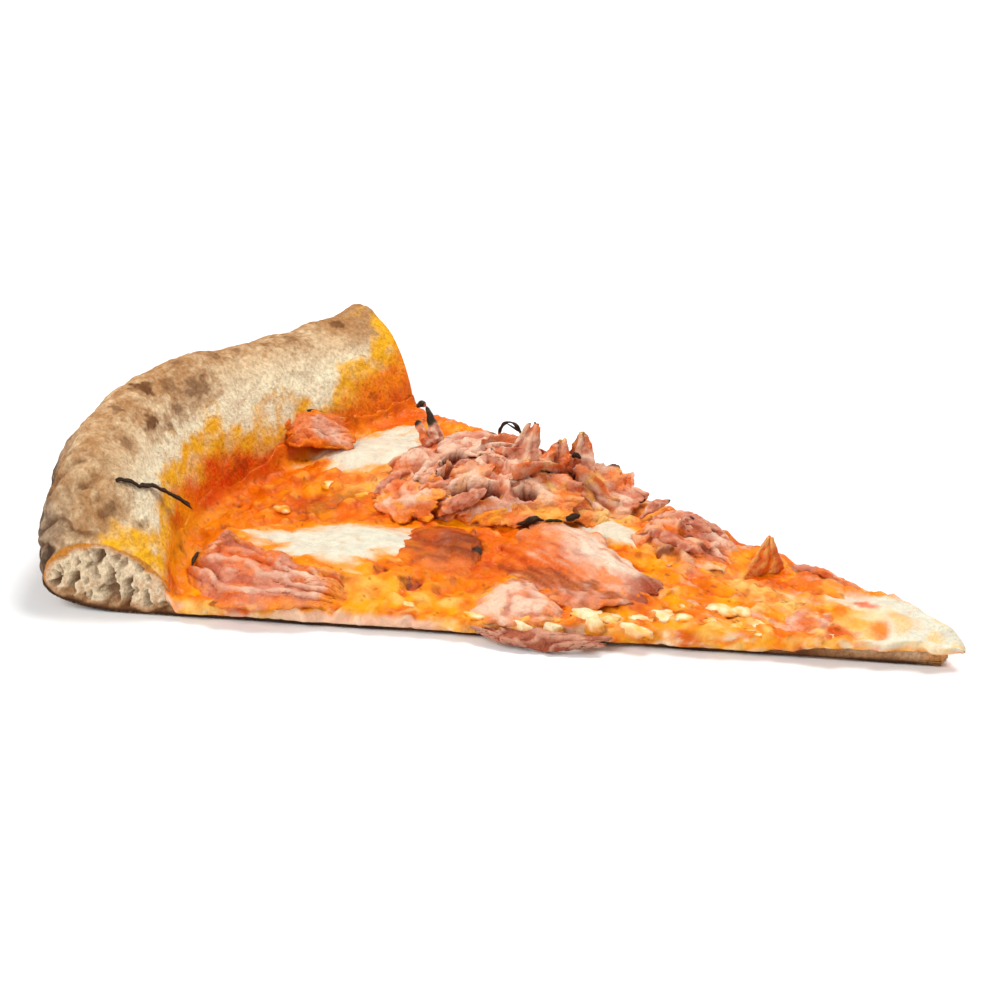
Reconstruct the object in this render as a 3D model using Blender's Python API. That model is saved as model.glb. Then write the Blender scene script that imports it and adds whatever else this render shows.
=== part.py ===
"""A wedge of baked ham and mozzarella pizza with a tall, puffed rim, lying on a flat surface.

+Z is up, and the origin is on the floor under the middle of the slice. The tip points to +X, the rim
is at -X, and the cut edge at -Y is the one with the drooping cheese. Everything is worked out in
millimetres, in slice terms: r is the distance from the tip, and side runs from -1 at the -Y cut to
+1 at the +Y cut. to_world moves the slice's box over the origin and turns millimetres into metres.
"""

import math
import random

import bmesh
import bpy
import numpy as np
from mathutils import Vector, noise
from mathutils.bvhtree import BVHTree

METRES = 0.001

# Slice
SLICE_RADIUS = 160.0
SLICE_ANGLE = math.radians(37.0)
TIP_X = 80.0
TIP_SETBACK = 5.0
BOX_CENTRE_X = -1.7
GAP = 0.35

# Rim: its outer radius and crest height at even steps from the -Y cut to the +Y cut
RIM_WIDTH = 23.0
CREST_INSET = 10.0
CURL_LENGTH = 14.0
EQUATOR_SHARE = 0.40
RIM_RADII = (160.5, 163.0, 164.3, 164.5, 162.5, 161.0, 160.0, 159.0, 158.5)
CREST_HEIGHTS = (24.6, 27.2, 27.8, 27.7, 27.1, 24.6, 22.5, 21.4, 21.7)
NEAR_PINCH = 0.46
NEAR_PINCH_LENGTH = 4.5
RIM_RELIEF = 0.9
RIM_RELIEF_SIZE = 13.0

# Base and melted layer
BASE_THICKNESS = 2.6
BASE_RELIEF = 0.35
CHEESE_EDGE = 1.0
CHEESE_BODY = 2.5
CHEESE_RISE_LENGTH = 13.0
CHEESE_LUMP = 0.75
CHEESE_LUMP_SIZE = 11.0
CHEESE_OVERHANG = 1.5
CHEESE_DROOP = 1.3

# Toppings
HAM_THICKNESS = 1.1
CRUMB_SEED = 8
CURD_HEIGHT_SHARE = 0.8
TIP_FLOOR = 4.6

# Each food's name, colour and roughness
DOUGH = ("dough", (0.62, 0.43, 0.25), 0.85)
CHEESE = ("cheese", (0.90, 0.36, 0.05), 0.35)
MOZZARELLA = ("mozzarella", (0.90, 0.84, 0.66), 0.35)
HAM = ("ham", (0.78, 0.33, 0.24), 0.42)
CHAR = ("char", (0.03, 0.02, 0.02), 0.6)


def smooth(value):
    """0 below 0, 1 above 1, and an even rise between."""
    t = np.clip(value, 0.0, 1.0)
    return t * t * (3 - 2 * t)


def through(points, steps):
    """A smooth curve through the rows of points, read at evenly spaced steps from 0 to 1."""
    rows = np.asarray(points, float)
    if rows.ndim == 1:
        rows = rows[:, None]
    padded = np.vstack([2 * rows[0] - rows[1], rows, 2 * rows[-1] - rows[-2]])
    place = np.clip(np.asarray(steps, float), 0, 1) * (len(rows) - 1)
    start = np.minimum(place.astype(int), len(rows) - 2)
    t = (place - start)[..., None]
    a, b, c, d = (padded[start + k] for k in range(4))
    curve = 2 * b + (c - a) * t + (2 * a - 5 * b + 4 * c - d) * t**2
    return 0.5 * (curve + (3 * b - a - 3 * c + d) * t**3)


def relief(x, y, z, size, octaves=2, seed=0.0):
    """Fractal noise of about -1 to 1 whose largest lumps are size across."""
    x, y, z = np.broadcast_arrays(x, y, z)
    points = np.stack([x, y, z], axis=-1).reshape(-1, 3) / size + seed
    values = [noise.fractal(Vector(p), 1.0, 2.0, octaves) for p in points]
    return np.array(values).reshape(x.shape)


def place(r, side, beyond=0.0):
    """x and y of a point at distance r from the tip, moved sideways past the cut by beyond."""
    angle = side * SLICE_ANGLE / 2
    x = TIP_X - r * np.cos(angle) - np.sign(side) * beyond * np.sin(angle)
    y = r * np.sin(angle) + np.sign(side) * beyond * np.cos(angle)
    return x, y


def to_world(point):
    return Vector((point[0] - BOX_CENTRE_X, point[1], point[2])) * METRES


def add_object(name, food, vertices, faces):
    """An object of the named food, from points in millimetres and faces in any winding."""
    mesh = bpy.data.meshes.new(name)
    form = bmesh.new()
    points = [form.verts.new(to_world(p)) for p in vertices]
    for face in faces:
        form.faces.new([points[i] for i in face])
    bmesh.ops.remove_doubles(form, verts=form.verts, dist=1e-7)
    bmesh.ops.dissolve_degenerate(form, edges=form.edges, dist=1e-7)
    bmesh.ops.triangulate(form, faces=form.faces)
    bmesh.ops.recalc_face_normals(form, faces=form.faces)
    form.to_mesh(mesh)
    form.free()
    mesh.shade_smooth()
    mesh.materials.append(material_of(food))
    obj = bpy.data.objects.new(name, mesh)
    bpy.context.scene.collection.objects.link(obj)
    return obj


def material_of(food):
    """The food's Principled material, made once."""
    name, colour, roughness = food
    material = bpy.data.materials.get(name)
    if material is None:
        material = bpy.data.materials.new(name)
        material.use_nodes = True
        shader = material.node_tree.nodes["Principled BSDF"]
        shader.inputs["Base Color"].default_value = (*colour, 1.0)
        shader.inputs["Roughness"].default_value = roughness
        material.diffuse_color = (*colour, 1.0)
    return material


def block_faces(shape):
    """The outer quads of a block of shape points, as indices into the flattened block."""
    index = np.arange(np.prod(shape)).reshape(shape)
    faces = []
    for axis in range(3):
        for end in (0, -1):
            layer = np.take(index, end, axis=axis)
            corners = (layer[:-1, :-1], layer[1:, :-1], layer[1:, 1:], layer[:-1, 1:])
            faces += np.stack(corners, axis=-1).reshape(-1, 4).tolist()
    return faces


def add_block(name, food, block):
    """A solid from a block of points: axis 0 along, axis 1 bottom to top, axis 2 across."""
    faces = block_faces(block.shape[:3])
    used = sorted({i for face in faces for i in face})
    renumber = {old: new for new, old in enumerate(used)}
    points = block.reshape(-1, 3)[used]
    return add_object(name, food, points, [[renumber[i] for i in f] for f in faces])


# Dough


def rim_outer(side):
    return through(RIM_RADII, (side + 1) / 2)[..., 0]


def crest_height(side):
    """Height of the rim's crest, squashed down beside the -Y cut where the wheel pressed it."""
    from_cut = (side + 1) / 2 * SLICE_ANGLE * SLICE_RADIUS
    pinch = 1 - NEAR_PINCH * np.exp(-((from_cut / NEAR_PINCH_LENGTH) ** 1.5))
    return through(CREST_HEIGHTS, (side + 1) / 2)[..., 0] * pinch


def dough_sections(r, side):
    """Bottom and top height of the dough at distance r from the tip."""
    outer, crest = rim_outer(side), crest_height(side)
    equator = EQUATOR_SHARE * crest
    inner, top_r = outer - RIM_WIDTH, outer - CREST_INSET
    climb = np.clip((r - inner) / (top_r - inner), 0, 1)
    fall = np.clip((r - top_r) / CREST_INSET, 0, 1)
    slope = (1 - (1 - climb) ** 1.8) ** 0.62
    flat = BASE_THICKNESS + (crest - BASE_THICKNESS) * slope
    over = equator + (crest - equator) * np.sqrt(np.clip(1 - fall**2, 0, 1))
    top = np.where(r < top_r, flat, over)
    curl = np.clip((r - outer + CURL_LENGTH) / CURL_LENGTH, 0, 1)
    bottom = equator * (1 - np.sqrt(np.clip(1 - curl**2, 0, 1)))
    return bottom, top


def dough_block(along, across, levels):
    """Points of the dough for shares along (0 tip, 1 rim) and across (-1 to 1)."""
    share, side = np.meshgrid(along, across, indexing="ij")
    outer = rim_outer(side)
    crest_r = outer - CREST_INSET
    # The last third of the steps rounds the rim's outer side by even angles.
    before = np.clip(share / 0.72, 0, 1)
    after = np.clip((share - 0.72) / 0.28, 0, 1)
    spread = before**0.8
    r = TIP_SETBACK + (crest_r - TIP_SETBACK) * spread
    r = r + CREST_INSET * np.sin(after * math.pi / 2)
    bottom, top = dough_sections(r, side)
    x, y = place(r, side)
    puff = smooth((r - outer + RIM_WIDTH + 3) / 8) * RIM_RELIEF
    lump = relief(x, y, top, RIM_RELIEF_SIZE, 3, 3.1) * puff
    roundness = np.sin(after * math.pi / 2)
    flat_lump = relief(x, y, 0, 16.0, 2, 7.7) * BASE_RELIEF
    top = top + (lump + flat_lump * (1 - puff / RIM_RELIEF)) * (1 - roundness)
    r = r + lump * roundness
    x, y = place(r, side)
    bottom = bottom + np.abs(relief(x, y, 0, 24.0, 1, 1.3)) * 0.5 * (1 - roundness)
    level = np.linspace(0, 1, levels)[:, None]
    z = bottom[:, None] * (1 - level) + top[:, None] * level
    x, y = (np.broadcast_to(v[:, None], z.shape) for v in (x, y))
    return np.stack([x, y, z], axis=-1)


def crumb_cutters(collection):
    """Egg-shaped bubbles that the two cuts laid open in the rim's crumb."""
    draw = random.Random(CRUMB_SEED)
    for cut, count in ((-1, 17), (1, 20)):
        taken = []
        tries = 0
        while len(taken) < count and tries < 4000:
            tries += 1
            radius = draw.uniform(0.7, 2.0) if len(taken) < 9 else draw.uniform(0.5, 1.0)
            r = draw.uniform(SLICE_RADIUS - RIM_WIDTH, SLICE_RADIUS - 3.5)
            bottom, top = dough_sections(np.array(r), np.array(float(cut)))
            z = draw.uniform(float(bottom), float(top))
            tall = radius * draw.uniform(1.0, 1.5)
            if z - tall < bottom + 0.7 or z + tall > top - 1.3:
                continue
            if any(math.hypot(r - a, z - b) < radius * 1.25 + c + 0.35 for a, b, c in taken):
                continue
            taken.append((r, z, tall))
            add_bubble(collection, cut, r, z, radius, tall)


def add_bubble(collection, cut, r, z, radius, tall):
    form = bmesh.new()
    bmesh.ops.create_uvsphere(form, u_segments=7, v_segments=5, radius=1.0)
    x, y = place(r, cut, -0.25 * radius)
    for vertex in form.verts:
        wide, deep, high = vertex.co
        vertex.co = to_world((x + wide * radius, y + deep * radius, z + high * tall))
    bmesh.ops.triangulate(form, faces=form.faces)
    mesh = bpy.data.meshes.new("bubble")
    form.to_mesh(mesh)
    form.free()
    collection.objects.link(bpy.data.objects.new("bubble", mesh))


def apply_boolean(obj, operation, collection):
    """Applies one Boolean with a collection to obj, then removes the collection's objects."""
    modifier = obj.modifiers.new("fused", "BOOLEAN")
    modifier.operation = operation
    modifier.operand_type = "COLLECTION"
    modifier.collection = collection
    modifier.solver = "EXACT"
    graph = bpy.context.evaluated_depsgraph_get()
    made = bpy.data.meshes.new_from_object(obj.evaluated_get(graph))
    obj.modifiers.clear()
    obj.data = made
    for other in list(collection.objects):
        bpy.data.objects.remove(other)
    bpy.data.collections.remove(collection)
    drop_scraps(obj)


def drop_scraps(obj):
    """Keeps only the largest connected body of the mesh, and triangulates it."""
    form = bmesh.new()
    form.from_mesh(obj.data)
    bmesh.ops.remove_doubles(form, verts=form.verts, dist=2e-6)
    bmesh.ops.dissolve_degenerate(form, edges=form.edges, dist=2e-6)
    form.verts.ensure_lookup_table()
    unseen, bodies = set(form.verts), []
    while unseen:
        body, edge = set(), [unseen.pop()]
        while edge:
            vertex = edge.pop()
            body.add(vertex)
            for link in vertex.link_edges:
                other = link.other_vert(vertex)
                if other in unseen:
                    unseen.discard(other)
                    edge.append(other)
        bodies.append(body)
    largest = max(bodies, key=len)
    loose = [v for v in form.verts if v not in largest]
    bmesh.ops.delete(form, geom=loose, context="VERTS")
    bmesh.ops.triangulate(form, faces=form.faces)
    form.to_mesh(obj.data)
    form.free()
    obj.data.shade_smooth()


def new_collection(name):
    collection = bpy.data.collections.new(name)
    bpy.context.scene.collection.children.link(collection)
    return collection


def make_dough():
    along = np.linspace(0, 1, 30)
    ends = np.array([0.0, 0.012, 0.035, 0.07])
    across = np.concatenate([ends, np.linspace(0.12, 0.93, 14), 1 - ends[::-1][2:]]) * 2 - 1
    dough = add_block("dough", DOUGH, dough_block(along, across, 3))
    cutters = new_collection("bubbles")
    crumb_cutters(cutters)
    apply_boolean(dough, "DIFFERENCE", cutters)
    return dough


# What lies on the dough


class Ground:
    """The surfaces made so far, so that the next piece can rest on them."""

    def __init__(self):
        self.trees = []

    def add(self, obj):
        form = bmesh.new()
        form.from_mesh(obj.data)
        self.trees.append(BVHTree.FromBMesh(form))
        form.free()

    def height(self, x, y):
        """The highest point made so far at x, y, in millimetres."""
        start = to_world((x, y, 100.0))
        hits = [tree.ray_cast(start, Vector((0, 0, -1)))[0] for tree in self.trees]
        return max([hit.z / METRES for hit in hits if hit] + [0.0])

    def around(self, x, y, reach, least=0.0):
        """The highest point within reach of x, y, sampled at the centre and on a ring."""
        ring = [(math.cos(a), math.sin(a)) for a in np.arange(8) * math.pi / 4]
        near = [self.height(x + reach * c, y + reach * s) for c, s in [(0, 0), *ring]]
        return max(near + [least])


def cheese_thickness(r, side):
    """Thickness of the melted layer: thin at the -Y cut and where it meets the rim."""
    x, y = place(r, side)
    from_near = (side + 1) / 2 * SLICE_ANGLE * r
    body = CHEESE_EDGE + (CHEESE_BODY - CHEESE_EDGE) * smooth(from_near / CHEESE_RISE_LENGTH)
    lumps = CHEESE_LUMP * relief(x, y, 0, CHEESE_LUMP_SIZE, 3, 5.5)
    to_rim = smooth((rim_outer(side) - RIM_WIDTH - r + 0.5) / 9.0)
    return 0.55 + (np.maximum(body + lumps, 0.7) - 0.55) * (0.2 + 0.8 * to_rim)


def make_cheese(ground):
    """The sauce and cheese layer, from cut to cut, drooping over both."""
    along = np.linspace(0, 1, 30)
    across = np.concatenate([[-1], np.linspace(-0.94, 0.94, 15), [1]])
    share, side = np.meshgrid(along, across, indexing="ij")
    edge_wave = relief(side * 9.0, 0, 0, 3.0, 2, 2.2) * 1.6
    outer = rim_outer(side) - RIM_WIDTH - 1.6 + np.minimum(edge_wave, 0.6)
    r = TIP_SETBACK - 3.6 + (outer - TIP_SETBACK + 3.6) * share
    x, y = place(r, side)
    floor = np.vectorize(lambda a, b: ground.around(a, b, 1.6))(x, y)
    inside_tip = r < TIP_SETBACK + 1.0
    floor = np.where(inside_tip, BASE_THICKNESS + 0.4, floor)
    bottom = floor + GAP
    top = bottom + cheese_thickness(r, side)
    block = np.stack([np.stack([x, y, z], -1) for z in (bottom, top)], axis=1)
    return add_block("cheese", CHEESE, with_overhang(block))


def with_overhang(block):
    """Adds two rows of points past each cut, the outer one hanging down beside the dough."""
    rows = [block]
    for index, cut in ((0, -1.0), (-1, 1.0)):
        edge = block[:, :, index]
        out = np.array(place(0.0, np.array(cut), 1.0)) - np.array(place(0.0, np.array(cut)))
        wave = 0.55 + 0.45 * relief(edge[..., 0], cut * 50.0, 0, 9.0, 2, 4.0)
        near, far = edge.copy(), edge.copy()
        near[..., :2] += out * GAP * 1.4
        far[..., :2] += out * (GAP * 1.4 + CHEESE_OVERHANG * wave[..., None])
        droop = CHEESE_DROOP if cut < 0 else 0.3 * CHEESE_DROOP
        far[:, 0, 2] -= droop * (0.4 + wave[:, 0])
        far[:, 1, 2] = far[:, 0, 2] + 0.5 * (edge[:, 1, 2] - edge[:, 0, 2])
        if cut < 0:
            rows = [far[:, :, None], near[:, :, None], *rows]
        else:
            rows = [*rows, near[:, :, None], far[:, :, None]]
    return np.concatenate(rows, axis=2)


def outline_radius(angle, length, width, heading, wobble, seed):
    """Radius of an uneven oval at an angle, for a melted pool."""
    turned = angle - heading
    oval = 1 / np.sqrt((np.cos(turned) / length) ** 2 + (np.sin(turned) / width) ** 2)
    rough = relief(np.cos(angle) * 2, np.sin(angle) * 2, 0, 1.7, 2, seed)
    return oval * (1 + wobble * rough)


def add_dome(name, food, ground, outline, rise, reach, least=0.0):
    """A dome on the ground: outline gives (centre, radius of each spoke), rise the height of each ring."""
    centre, radius = outline
    spokes = np.arange(len(radius)) * 2 * math.pi / len(radius)
    vertices, top_rows, bottom_rows = [], [], []
    for ring, height in rise:
        tops, bottoms = [], []
        for spoke, length in zip(spokes, radius):
            x = centre[0] + ring * length * math.cos(spoke)
            y = centre[1] + ring * length * math.sin(spoke)
            base = ground.around(x, y, reach, least) + GAP
            lump = 1.0 + 0.3 * float(relief(x, y, 0, 7.0, 2, 31.0))
            bottoms.append(len(vertices))
            vertices.append((x, y, base))
            tops.append(len(vertices))
            vertices.append((x, y, base + height * lump))
            if ring == 0.0:
                tops, bottoms = tops * len(radius), bottoms * len(radius)
                break
        top_rows.append(tops)
        bottom_rows.append(bottoms)
    faces = ring_faces(top_rows[-1], bottom_rows[-1])
    for rows in (top_rows, bottom_rows):
        for inner, outer in zip(rows, rows[1:]):
            faces += ring_faces(inner, outer)
    return add_object(name, food, vertices, faces)


def oval(centre, length, width, heading, wobble, seed, count=20):
    """An uneven oval as (centre, radius of each spoke)."""
    spokes = np.arange(count) * 2 * math.pi / count
    return centre, outline_radius(spokes, length / 2, width / 2, math.radians(heading), wobble, seed)


def make_pool(name, ground, centre, length, width, heading, thickness, least=0.0):
    """A melted pool of mozzarella: an uneven oval with a rounded edge that rests on the ground."""
    outline = oval(centre, length, width, heading, 0.25, 0.0)
    rings = (0.0, 0.35, 0.65, 0.88, 1.0)
    rise = [(ring, thickness * (0.25 + 0.75 * math.sqrt(1 - ring**2.4))) for ring in rings]
    return add_dome(name, MOZZARELLA, ground, outline, rise, 1.8, least)


def ring_faces(inner, outer):
    """Quads between two closed rows of points, or triangles where the inner row is one point."""
    faces = []
    for i in range(len(outer)):
        k = (i + 1) % len(outer)
        face = [inner[i], outer[i], outer[k], inner[k]]
        faces.append(list(dict.fromkeys(face)))
    return faces


def sheet_points(rails, steps, crumple, size, seed, ragged=0.0):
    """A torn sheet of ham between two smooth rails, wrinkled along its own normal."""
    rows, columns = steps
    a, b = np.linspace(0, 1, rows), np.linspace(0, 1, columns)
    near, far = through(rails[0], a), through(rails[1], a)
    middle = near[:, None] * (1 - b[None, :, None]) + far[:, None] * b[None, :, None]
    x, y, z = np.moveaxis(middle, -1, 0)
    if ragged:
        tear = relief(x, y, z, 4.0, 2, seed + 9) * ragged
        edge = 2 * b[None, :] - 1
        across = (far - near) / np.linalg.norm(far - near, axis=1, keepdims=True)
        middle = middle + across[:, None] * (tear * edge * np.abs(edge))[..., None]
    normal = normals_of(middle)
    wave = relief(x, y, z, size, 2, seed) * crumple
    return middle + normal * wave[..., None]


def normals_of(grid):
    """Unit normals of a grid of points, turned to point up where they can."""
    along = np.gradient(grid, axis=0)
    across = np.gradient(grid, axis=1)
    normal = np.cross(along, across)
    normal /= np.maximum(np.linalg.norm(normal, axis=-1, keepdims=True), 1e-9)
    return normal * (1 if normal[..., 2].mean() >= 0 else -1)


def slab(name, grid, thickness=HAM_THICKNESS, food=HAM):
    """A solid of even thickness, thinner at its edges, about a grid of points."""
    normal = normals_of(grid)
    rows, columns = grid.shape[:2]
    edge_a = 1 - np.abs(np.linspace(-1, 1, rows)) ** 6
    edge_b = 1 - np.abs(np.linspace(-1, 1, columns)) ** 6
    half = thickness / 2 * (0.55 + 0.45 * np.minimum(edge_a[:, None], edge_b[None, :]))
    block = np.stack([grid - normal * half[..., None], grid + normal * half[..., None]], axis=1)
    return add_block(name, food, block)


def lifted(grid, ground, reach=1.9, thickness=HAM_THICKNESS):
    """The grid with each point raised until a slab about it clears the ground."""
    clear = GAP + thickness * 0.62
    raised = grid.copy()
    for point in raised.reshape(-1, 3):
        point[2] = max(point[2], ground.around(point[0], point[1], reach) + clear)
    return raised


def make_sheet(name, ground, rails, steps, crumple, size, seed, thickness=HAM_THICKNESS):
    """One ham sheet, laid on what is there already."""
    grid = sheet_points(rails, steps, crumple, size, seed, 0.8)
    return slab(name, lifted(grid, ground, 1.9, thickness), thickness)


# Each ham sheet lies between two rails of points (x, y, z). It is raised clear of what it lies on.
SHEETS = {
    "ham_front": dict(
        rails=(
            [(-52, -36, 7), (-46, -41, 5), (-38, -41, 4), (-30, -37.5, 4), (-23, -33, 4)],
            [(-51, -26.5, 9), (-47, -24.5, 9), (-39, -26.5, 8), (-31, -27.5, 8), (-24, -28.5, 7)],
        ),
        steps=(13, 7), crumple=1.3, size=6.5, seed=1.0,
    ),
    "ham_brown": dict(
        rails=(
            [(-22, -21, 6), (-16, -24, 5), (-11, -23.5, 5), (-8, -20, 5)],
            [(-24, -5, 8), (-18, -2.5, 9), (-13, -3, 9), (-10, -8, 8)],
        ),
        steps=(7, 9), crumple=0.9, size=8.0, seed=2.0,
    ),
    "ham_edge": dict(
        rails=(
            [(-4, -25, 4), (2, -26.5, 4), (8, -24.5, 4), (13.5, -22, 4)],
            [(0, -14.5, 8), (5, -17, 8), (10, -19, 7), (13.5, -20.2, 6)],
        ),
        steps=(8, 6), crumple=1.0, size=6.0, seed=3.0,
    ),
    "ham_centre": dict(
        rails=(
            [(-5, -9, 6), (4, -15.5, 6.5), (14, -18, 6), (23, -15.5, 6)],
            [(-2, 5, 9), (7, 4, 8.5), (17, -1, 7.5), (26, -6, 7)],
        ),
        steps=(12, 9), crumple=0.9, size=9.0, seed=4.0,
    ),
    "ham_rim": dict(
        rails=(
            [(-53.5, 9.5, 8), (-50.5, 14, 7), (-47, 18, 6)],
            [(-58.3, 13, 11), (-55.5, 18.5, 10.5), (-50.5, 23.5, 8)],
        ),
        steps=(7, 5), crumple=0.7, size=6.0, seed=5.0,
    ),
    "ham_right": dict(
        rails=(
            [(13, 7.5, 8), (19, 4, 8), (26, 2.5, 8), (32, 3, 7)],
            [(15, 18.5, 9), (20, 17, 9), (26, 15.5, 8.5), (32, 12.5, 7.5)],
        ),
        steps=(9, 7), crumple=1.4, size=6.0, seed=6.0,
    ),
    "ham_spike": dict(
        rails=(
            [(36, 4.5, 6), (37.6, 5.6, 9), (39.4, 6.9, 12.8)],
            [(42.5, 8.5, 6), (41.5, 8, 9), (40.2, 7.3, 12.8)],
        ),
        steps=(5, 4), crumple=0.2, size=6.0, seed=9.0,
    ),
    "ham_strip": dict(
        rails=(
            [(44.5, 3.5, 6), (49, 3.5, 6), (55, 2.5, 6)],
            [(45.5, 9.3, 7), (50, 8.8, 6.5), (56, 6.8, 6)],
        ),
        steps=(7, 5), crumple=0.6, size=6.0, seed=7.0,
    ),
    "ham_tip": dict(
        rails=(
            [(48, -8, 5), (52, -8, 5), (56.5, -6.2, 5)],
            [(48.5, -1.5, 6), (52, 0, 6), (56.5, 0, 6)],
        ),
        steps=(6, 5), crumple=0.5, size=6.0, seed=8.0,
    ),
}

# Torn pieces of the heap, as rails like those above
HEAP_PIECES = (
    # Pale folded back of the heap
    ([(-34, 13, 8), (-28, 20, 12), (-20, 23, 13), (-12, 25, 11)],
     [(-31, 7, 9), (-26, 11, 16), (-18, 13, 17), (-10, 15, 14)]),
    # Horn with a charred tip
    ([(-37, 15, 8), (-34.5, 16, 13), (-33.5, 17.5, 18)],
     [(-29, 12, 8), (-30.5, 14, 13), (-32.4, 16.6, 18)]),
    # Low horn beside it
    ([(-37, 9, 8), (-36, 9, 12), (-34.5, 8, 15)],
     [(-33, 7, 8), (-33.2, 7.4, 12), (-33.5, 7, 15)]),
    # Flap that stands up in the middle
    ([(-24, 14, 10), (-19, 17, 14), (-15, 19.5, 17), (-13, 21, 19.5)],
     [(-13, 11, 9), (-11, 14, 13), (-10.5, 17, 17), (-11, 19.8, 19.5)]),
    # Pair of flaps to the right
    ([(-11, 13, 8), (-8, 17, 13), (-5.5, 20, 16.5)],
     [(-3, 13, 8), (-2.5, 17, 13), (-2.5, 20, 17)]),
    ([(-8, 19, 8), (-5, 22, 13), (-3.5, 24, 17)],
     [(1, 20, 8), (0, 22, 12), (-1.5, 24, 16)]),
    # Rolled fingers along the front
    ([(-33, 1, 8), (-25, -3, 8.5), (-17, -3.5, 9)],
     [(-31, 6, 10), (-24, 3, 12), (-16, 2.5, 11)]),
    ([(-19, -1, 8), (-13.5, -1.5, 9), (-9.5, 2.5, 9)],
     [(-19, 6, 13), (-13, 6.5, 13), (-8.5, 9, 12)]),
    # Crumbled end over the far cut
    ([(-2, 13, 8), (5, 14, 9), (10, 15, 8)],
     [(-3, 27, 9), (4, 26, 10), (10, 23, 8)]),
)


def make_heap(ground):
    """The crumpled heap: a low core with torn pieces fused onto it."""
    heap = make_core(ground)
    pieces = new_collection("heap_pieces")
    for number, rails in enumerate(HEAP_PIECES):
        grid = sheet_points(rails, (6, 5), 0.7, 5.0, 20.0 + number, 0.5)
        piece = slab("heap_piece", lifted(grid, ground, 1.9, 1.5), 1.5)
        bpy.context.scene.collection.objects.unlink(piece)
        pieces.objects.link(piece)
    apply_boolean(heap, "UNION", pieces)
    return heap


def make_core(ground):
    """The heap's low body, a lumpy dome over its uneven outline."""
    outline = oval((-17.5, 12.5), 37.0, 21.0, 8, 0.18, 30.0, 22)
    rise = [(ring, 0.5 + 6.0 * (1 - ring**2) ** 0.7) for ring in (0.0, 0.4, 0.75, 1.0)]
    return add_dome("ham_heap", HAM, ground, outline, rise, 1.9)


# A charred shred on the rim, and a ham flap that hangs over the -Y cut: both as rails (x, y, z)
SHRED = (
    [(-61.8, -42.0, 20), (-59.6, -38.6, 20), (-58.8, -34, 18), (-58, -30, 15), (-56.4, -26.5, 12)],
    [(-62.8, -41.2, 20), (-60.6, -38.0, 20), (-60, -33.6, 18), (-59.2, -29.4, 15), (-57.4, -25.8, 12)],
)
HANGING = (
    [(-4, -31.0, 3.0), (5, -28.0, 3.0), (15, -24.7, 2.8), (23, -22, 2.4)],
    [(-2, -31.8, 0.9), (6, -29.8, 0.8), (14, -27.2, 0.8), (22, -23.8, 1.0)],
)


def make_shred(ground):
    grid = sheet_points(SHRED, (12, 3), 0.15, 5.0, 40.0)
    slab("shred", lifted(grid, ground, 1.0, 0.7), 0.7, CHAR)


def make_hanging(ground):
    """The flap's points stay off the floor and clear of the melted edge."""
    grid = sheet_points(HANGING, (12, 4), 0.3, 7.0, 50.0, 0.3)
    slab("ham_hanging", grid, 0.9)


# Curds of cheese along the -Y cut and in the open melted layer, as (x, y, size)
CURDS = (
    (17.0, -18.6, 2.1), (21.0, -17.6, 1.7), (25.0, -15.6, 1.5), (28.6, -13.2, 2.3), (32.4, -12.6, 1.4),
    (37.4, -7.4, 2.0), (40.8, -6.2, 1.6), (36.6, -11.4, 1.4), (41.5, -10.2, 1.2), (44.6, -9.0, 1.6),
    (64.0, -3.2, 1.4), (-5.0, -26.4, 1.5), (-8.6, -27.6, 1.2), (-13.6, -29.0, 1.4), (31.0, -8.6, 1.2),
    (35.0, -2.5, 1.3), (28.5, -2.0, 1.2), (-45.0, 4.0, 1.6), (-49.0, -8.0, 1.3), (-38.5, 3.5, 1.4),
)


def fuse_curds(cheese, ground):
    """Fuses the curds onto the melted layer."""
    curds = new_collection("curds")
    for number, (x, y, size) in enumerate(CURDS):
        form = bmesh.new()
        bmesh.ops.create_uvsphere(form, u_segments=7, v_segments=5, radius=1.0)
        base = ground.height(x, y)
        for vertex in form.verts:
            lump = 1 + 0.3 * noise.noise(vertex.co * 1.3 + Vector((number, 0, 0)))
            wide, deep, high = vertex.co * lump * size
            vertex.co = to_world((x + wide, y + deep, base + 0.25 * size + high * CURD_HEIGHT_SHARE))
        bmesh.ops.triangulate(form, faces=form.faces)
        mesh = bpy.data.meshes.new("curd")
        form.to_mesh(mesh)
        form.free()
        curds.objects.link(bpy.data.objects.new("curd", mesh))
    apply_boolean(cheese, "UNION", curds)


def clear_scene():
    for obj in list(bpy.data.objects):
        bpy.data.objects.remove(obj)


def main():
    clear_scene()
    ground = Ground()
    dough = make_dough()
    ground.add(dough)
    cheese = make_cheese(ground)
    bare = Ground()
    bare.add(cheese)
    fuse_curds(cheese, bare)
    ground.add(cheese)
    pools = (
        ("mozzarella_left", (-35, -17.5), 25, 15, 20, 1.2),
        ("mozzarella_far", (-42, 21.5), 19, 10.5, 60, 1.2),
        ("mozzarella_middle", (9, 12.5), 11, 6, -30, 1.0),
    )
    for name, centre, length, width, heading, thickness in pools:
        ground.add(make_pool(name, ground, centre, length, width, heading, thickness))
    ground.add(make_pool("mozzarella_tip", ground, (67.5, 0.3), 24, 8.4, 0, 2.4, TIP_FLOOR))
    for name, sheet in SHEETS.items():
        ground.add(make_sheet(name, ground, **sheet))
    make_heap(ground)
    make_shred(ground)
    make_hanging(ground)


main()
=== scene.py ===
"""The looks of the pizza slice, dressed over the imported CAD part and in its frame.

Shapes are worked out in millimetres, in the slice terms of the CAD source: the tip is at TIP_X, r is the
distance from it, and side runs from -1 at the -Y cut to +1 at the +Y cut. add_piece turns them into metres
in the row frame. Each piece is built from grids of points that carry a colour (tint) and a wetness.
"""

import math
import random

import bmesh
import bpy
import numpy as np
from mathutils import Matrix, Vector, noise


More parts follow.
